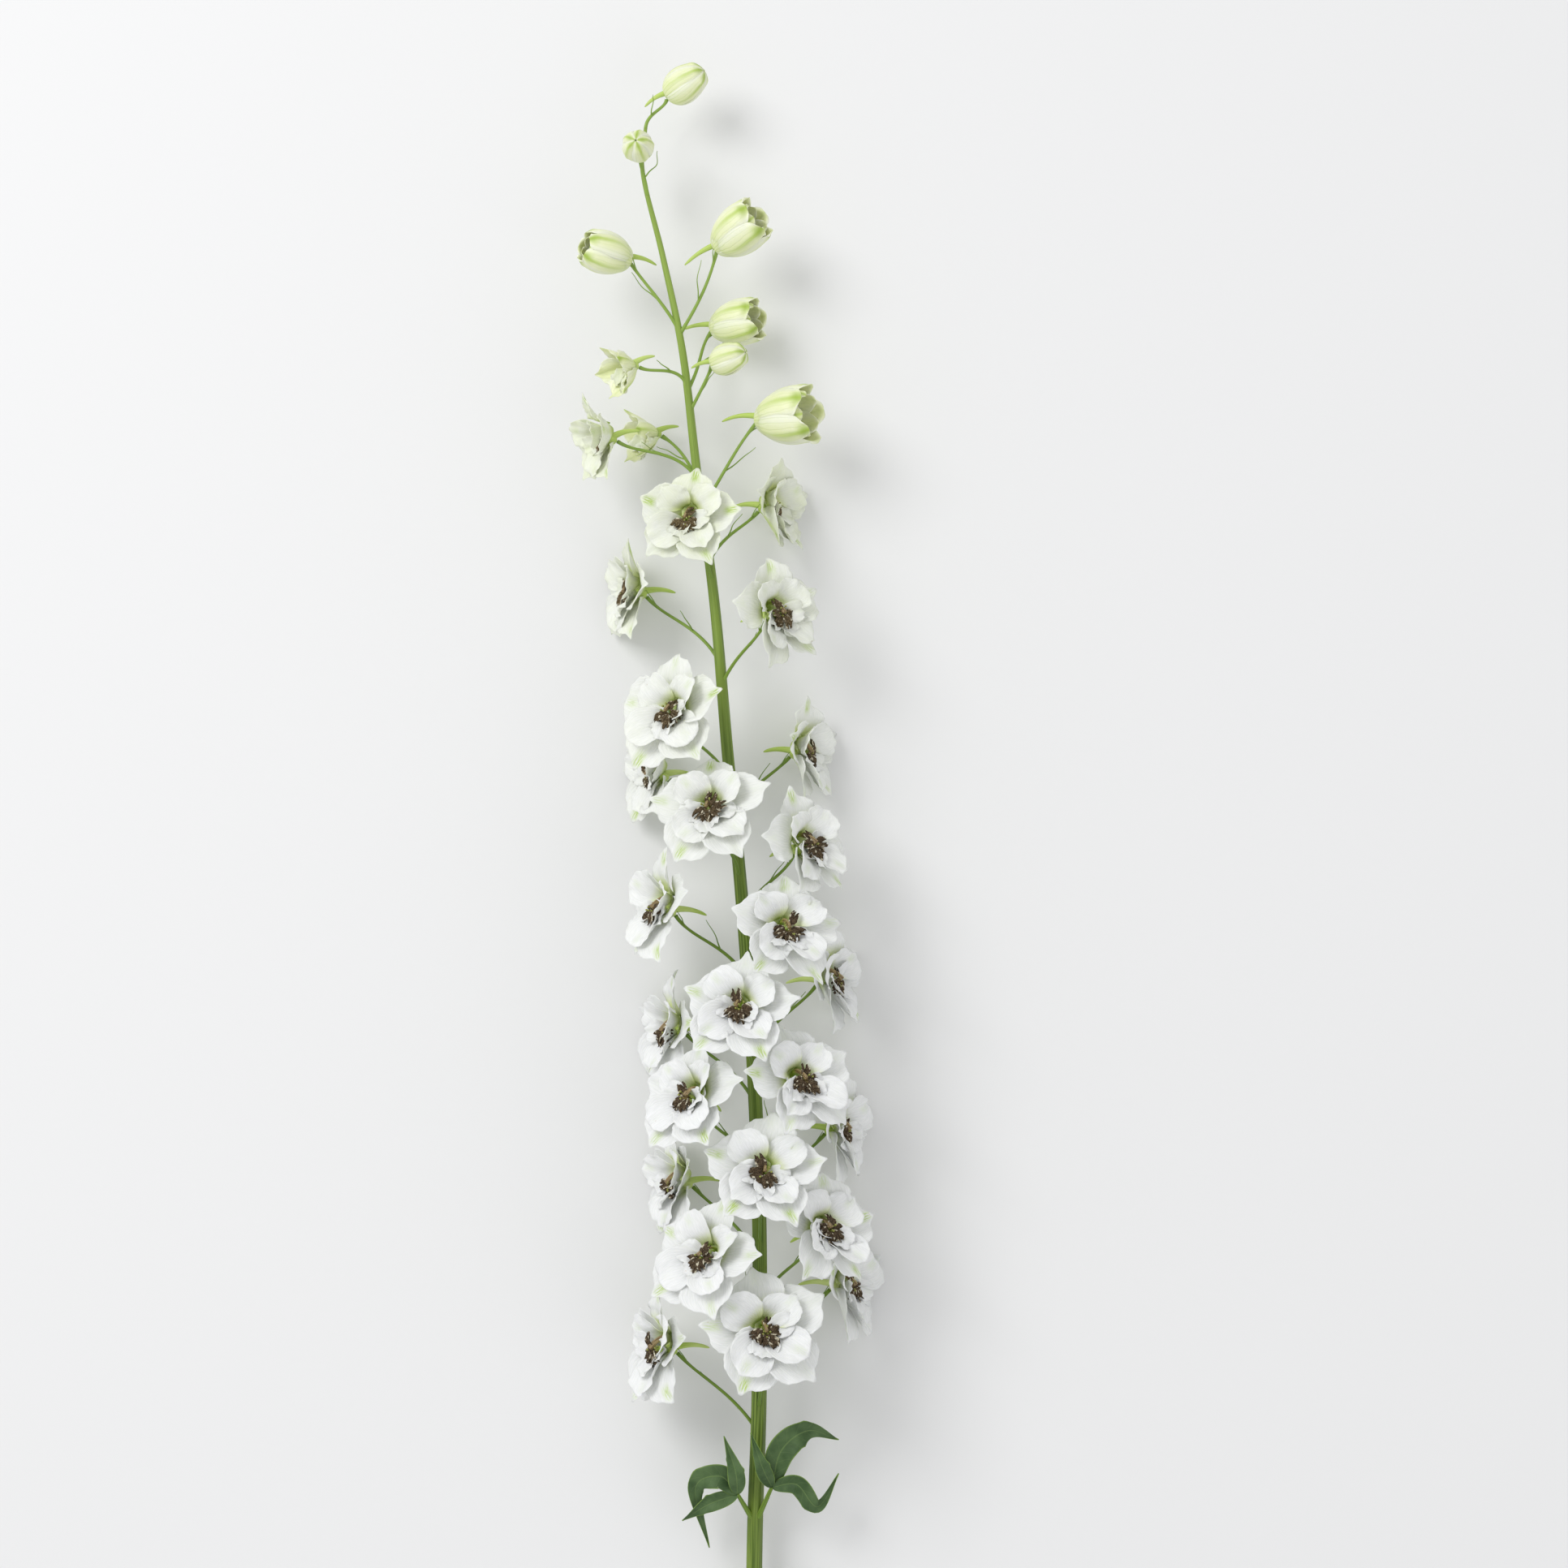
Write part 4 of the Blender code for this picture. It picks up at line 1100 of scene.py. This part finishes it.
# Flower stalks and thread bracts
# A thin green stalk carries each flower. It leaves the stem at an angle and curves round to the
# flower's back, and two hair-thin bracts stand on it. Both are living tissue, grown in one with
# the stem.
STALK_RADIUS = 0.85
STALK_POINTS = 26
STALK_SIDES = 12
STALK_PLACES = (0, 0.12, 0.8, 1)
STALK_SWELLS = (1.12, 0.95, 1.35)
STALK_SIDE_SPAN = 20
FOOT_GAP = 0.35
BRACT_POINTS = 20
BRACT_SIDES = 6
BRACT_ROOT, BRACT_TIP = 0.44, 0.16
BRACT_STRETCH = 1.15
LOWER_BRACT, UPPER_BRACT = 0.36, 0.84


def side_share(flower):
    """1 for a stalk that leaves the side of the stem, falling to 0 for one at the stem's end."""
    return min(1.0, (STEM_LENGTH - flower.along + flower.drop) / STALK_SIDE_SPAN)


def stalk_path(flower):
    """A cubic curve with four control points, from inside the stem to the flower's foot."""
    start = stem_point(flower.along - flower.drop)
    end = flower.world(np.array([0, -1.2, -2.9 - FOOT_GAP]))
    out = unit((flower.centre - stem_point(flower.along)) * (1, 0, 1))
    span = np.linalg.norm(end - start)
    leave = start + 0.45 * span * unit(0.55 * out * side_share(flower) + np.array([0, 0.85, 0]))
    arrive = end - 0.30 * span * unit(flower.axes[:, 2] + 0.9 * flower.axes[:, 1])
    t = np.linspace(0, 1, STALK_POINTS)[:, None]
    near, far = (1 - t) ** 3 * start, t**3 * end
    return near + 3 * t * (1 - t) ** 2 * leave + 3 * t**2 * (1 - t) * arrive + far


def bract_path(stalk, flower, share, length, side, curl):
    """A thread that leaves the stalk, stands off it and bends over in a slow wave."""
    base = stalk[int(share * (len(stalk) - 1))]
    ahead = unit(stalk[-1] - stalk[-2])
    away = unit(np.cross(ahead, flower.axes[:, 2]) * side + 0.3 * ahead)
    t = np.linspace(0, 1, BRACT_POINTS)[:, None]
    bent = t * (0.55 * ahead + 0.75 * away) + 0.25 * t**2 * (ahead - away)
    wave = 0.14 * curl * np.sin(2.6 * np.pi * t) * (ahead - away) * t
    return base + BRACT_STRETCH * length * (bent + wave)


stalk_green = stem_skin(
    "stalk_green_skin", light=(0.21, 0.32, 0.045), dark=(0.085, 0.155, 0.014),
    low=(0.15, 0.24, 0.026), tip=(0.30, 0.44, 0.09))
stalk_parts, bract_parts = [], []
for flower in opened + bells + buds:
    path = stalk_path(flower)
    swells = (1.12 + 0.38 * side_share(flower), *STALK_SWELLS)
    radii = STALK_RADIUS * np.interp(np.linspace(0, 1, STALK_POINTS), STALK_PLACES, swells)
    stalk_parts.append(tube(path, radii, STALK_SIDES, ridges=3, depth=0.05))
    fine = flower.fine
    lengths = (0.15 * flower.drop + fine.uniform(7, 13), fine.uniform(7, 12))
    for share, length in zip((LOWER_BRACT, UPPER_BRACT), lengths):
        thread = bract_path(path, flower, share, length, fine.choice([-1, 1]), fine.uniform(-1, 1))
        thread = settle(thread, np.zeros(3), 0.5, 1.0)
        thickness = np.linspace(BRACT_ROOT, BRACT_TIP, BRACT_POINTS)
        bract_parts.append(tube(thread, thickness, BRACT_SIDES))
flower_stalks = piece_from("flower_stalks", stalk_parts, [stalk_green])
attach(flower_stalks, "root")
thread_bracts = piece_from("thread_bracts", bract_parts, [stalk_green])
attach(thread_bracts, "root")


# Leaves
# Three leaves are left on the lower stem. Each is a thin blade parted into narrow pointed lobes,
# folded along the midrib and toothed at the margin, on a round stalk that leaves the stem. A row
# gives where it leaves the stem, then the midrib's points and the greatest width of each lobe.
LEAVES = (
    (127, (((0, 0, 0), (22, 9, 14), (42, 14, 20), (52, 28, 18), (46, 44, 8)), 15.0),
     (((22, 9, 14), (24, 22, 19), (12, 33, 15), (28, 44, 6)), 10.0),
     (((22, 9, 14), (34, 4, 24), (52, -2, 26)), 8.0)),
    (128, (((0, 0, 0), (17, -9, 12), (27, -18, 16), (20, -31, 12), (-14, -24, -8)), 13.0),
     (((17, -9, 12), (30, -10, 20), (48, -16, 17)), 9.0),
     (((17, -9, 12), (12, -24, 14), (2, -38, 4)), 9.0)),
    (52, (((0, 0, 0), (12, 10, 4), (22, 28, 4), (24, 50, -3), (18, 66, -7)), 15.0),
     (((12, 10, 4), (26, 20, 8), (48, 30, 2)), 10.0),
     (((12, 10, 4), (8, 26, 3), (-6, 44, -5)), 10.0)),
)
LEAF_ACROSS = 13
LEAF_ROWS = 40
LEAF_THICK = 0.55
LEAF_LOWEST = 0.31
LEAF_STALK_RADII = np.linspace(1.7, 1.0, 12)
LEAF_DARK = (0.040, 0.082, 0.026)
LEAF_LIGHT = (0.090, 0.155, 0.056)
LEAF_BACK = (0.17, 0.22, 0.10)
LEAF_VEIN = (0.20, 0.30, 0.11)
LEAF_MIDRIB = (0.19, 0.28, 0.09)
LEAF_RIM = (0.26, 0.40, 0.07)


def leaf_lobe(points, width, number, phase):
    """A narrow lobe along its midrib, broadest a third of the way and drawn out to a long point.

    The half width is a power of a sine with a shallow tooth on each side, and the blade is folded
    up to both sides of the midrib and waves a little."""
    u, t = blade_grid(LEAF_ROWS, LEAF_ACROSS)
    line = smooth_rows(points, 80)
    steps = np.linspace(0, 1, 80)
    place = np.stack([np.interp(t, steps, line[:, i]) for i in range(3)], -1)
    ahead = np.stack([np.interp(t, steps, np.gradient(line[:, i])) for i in range(3)], -1)
    across = unit(np.cross(ahead, (0.0, 0.0, 1.0)))
    half = 0.46 * width * np.sin(np.pi * np.clip(t, 0, 1) ** 0.72) ** 0.85
    half = half * (1 - 0.45 * np.clip((t - 0.5) / 0.5, 0, 1)) + 0.55 * (1 - t) + 0.12
    bite = np.exp(-(((t - 0.52 - 0.05 * math.sin(phase)) / 0.035) ** 2)) * (u > 0)
    bite = bite + np.exp(-(((t - 0.66 + 0.05 * math.cos(phase)) / 0.03) ** 2)) * (u < 0)
    half = half * (1 + 0.16 * bite * np.abs(u) ** 3)
    rows = place + across * (half * u)[..., None]
    rows[..., 2] += 0.34 * half * np.abs(u) + 0.6 * np.sin(9 * t + 3 * u + phase) * np.abs(u)
    grid = settle(rows, np.zeros(3), LEAF_LOWEST + 0.5 * number, 1.5)
    return blade(grid, u, t, np.abs(u) ** 3, LEAF_THICK, (0, 0, 0, 0))


def leaf_skin():
    """Blue-green leaf tissue with faint veins, a yellow-green margin and tip, and a paler back."""
    skin = Skin("leaf_green_skin", 0.55, 0.05, (0.6, 1.0, 0.3), gloss=0.25)
    side, along = skin.from_midrib(), skin.along
    slant = skin.times(skin.times_plus(side, -0.10, along), 30.0)
    ribs = skin.ramp(skin.maths("ABSOLUTE", skin.maths("SINE", slant)), 0.3, 0.0)
    patch = skin.noise(skin.place, 90.0, 3.0)
    green = skin.blend(skin.ramp(patch, 0.3, 0.7), LEAF_DARK, LEAF_LIGHT)
    green = skin.blend(skin.times(skin.back, 0.7), green, LEAF_BACK)
    green = skin.blend(skin.times(ribs, 0.10), green, LEAF_VEIN)
    green = skin.blend(skin.times(skin.ramp(side, 0.09, 0.0), 0.45), green, LEAF_MIDRIB)
    rim = skin.maths("MAXIMUM", skin.ramp(side, 0.90, 1.0), skin.ramp(along, 0.94, 1.0))
    green = skin.blend(skin.times(rim, 0.6), green, LEAF_RIM)
    return skin.done(green, skin.times_plus(ribs, -0.5, skin.times(patch, 0.4)), 0.4, 0.0005)


leaf_green = leaf_skin()
leaf_parts = []
for place, *lobes in LEAVES:
    for number, (midrib, width) in enumerate(lobes):
        points = stem_point(place) + np.array([(x, y, z) for y, x, z in midrib], float)
        if number == 0:
            stalk = np.linspace(points[0], points[1], len(LEAF_STALK_RADII))
            leaf_parts.append(tube(stalk, LEAF_STALK_RADII, STALK_SIDES, finish=1))
            points = points[1:]
        leaf_parts.append(leaf_lobe(points, width, number, place + number))
stem_leaves = piece_from("stem_leaves", leaf_parts, [leaf_green, stalk_green])
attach(stem_leaves, "root")
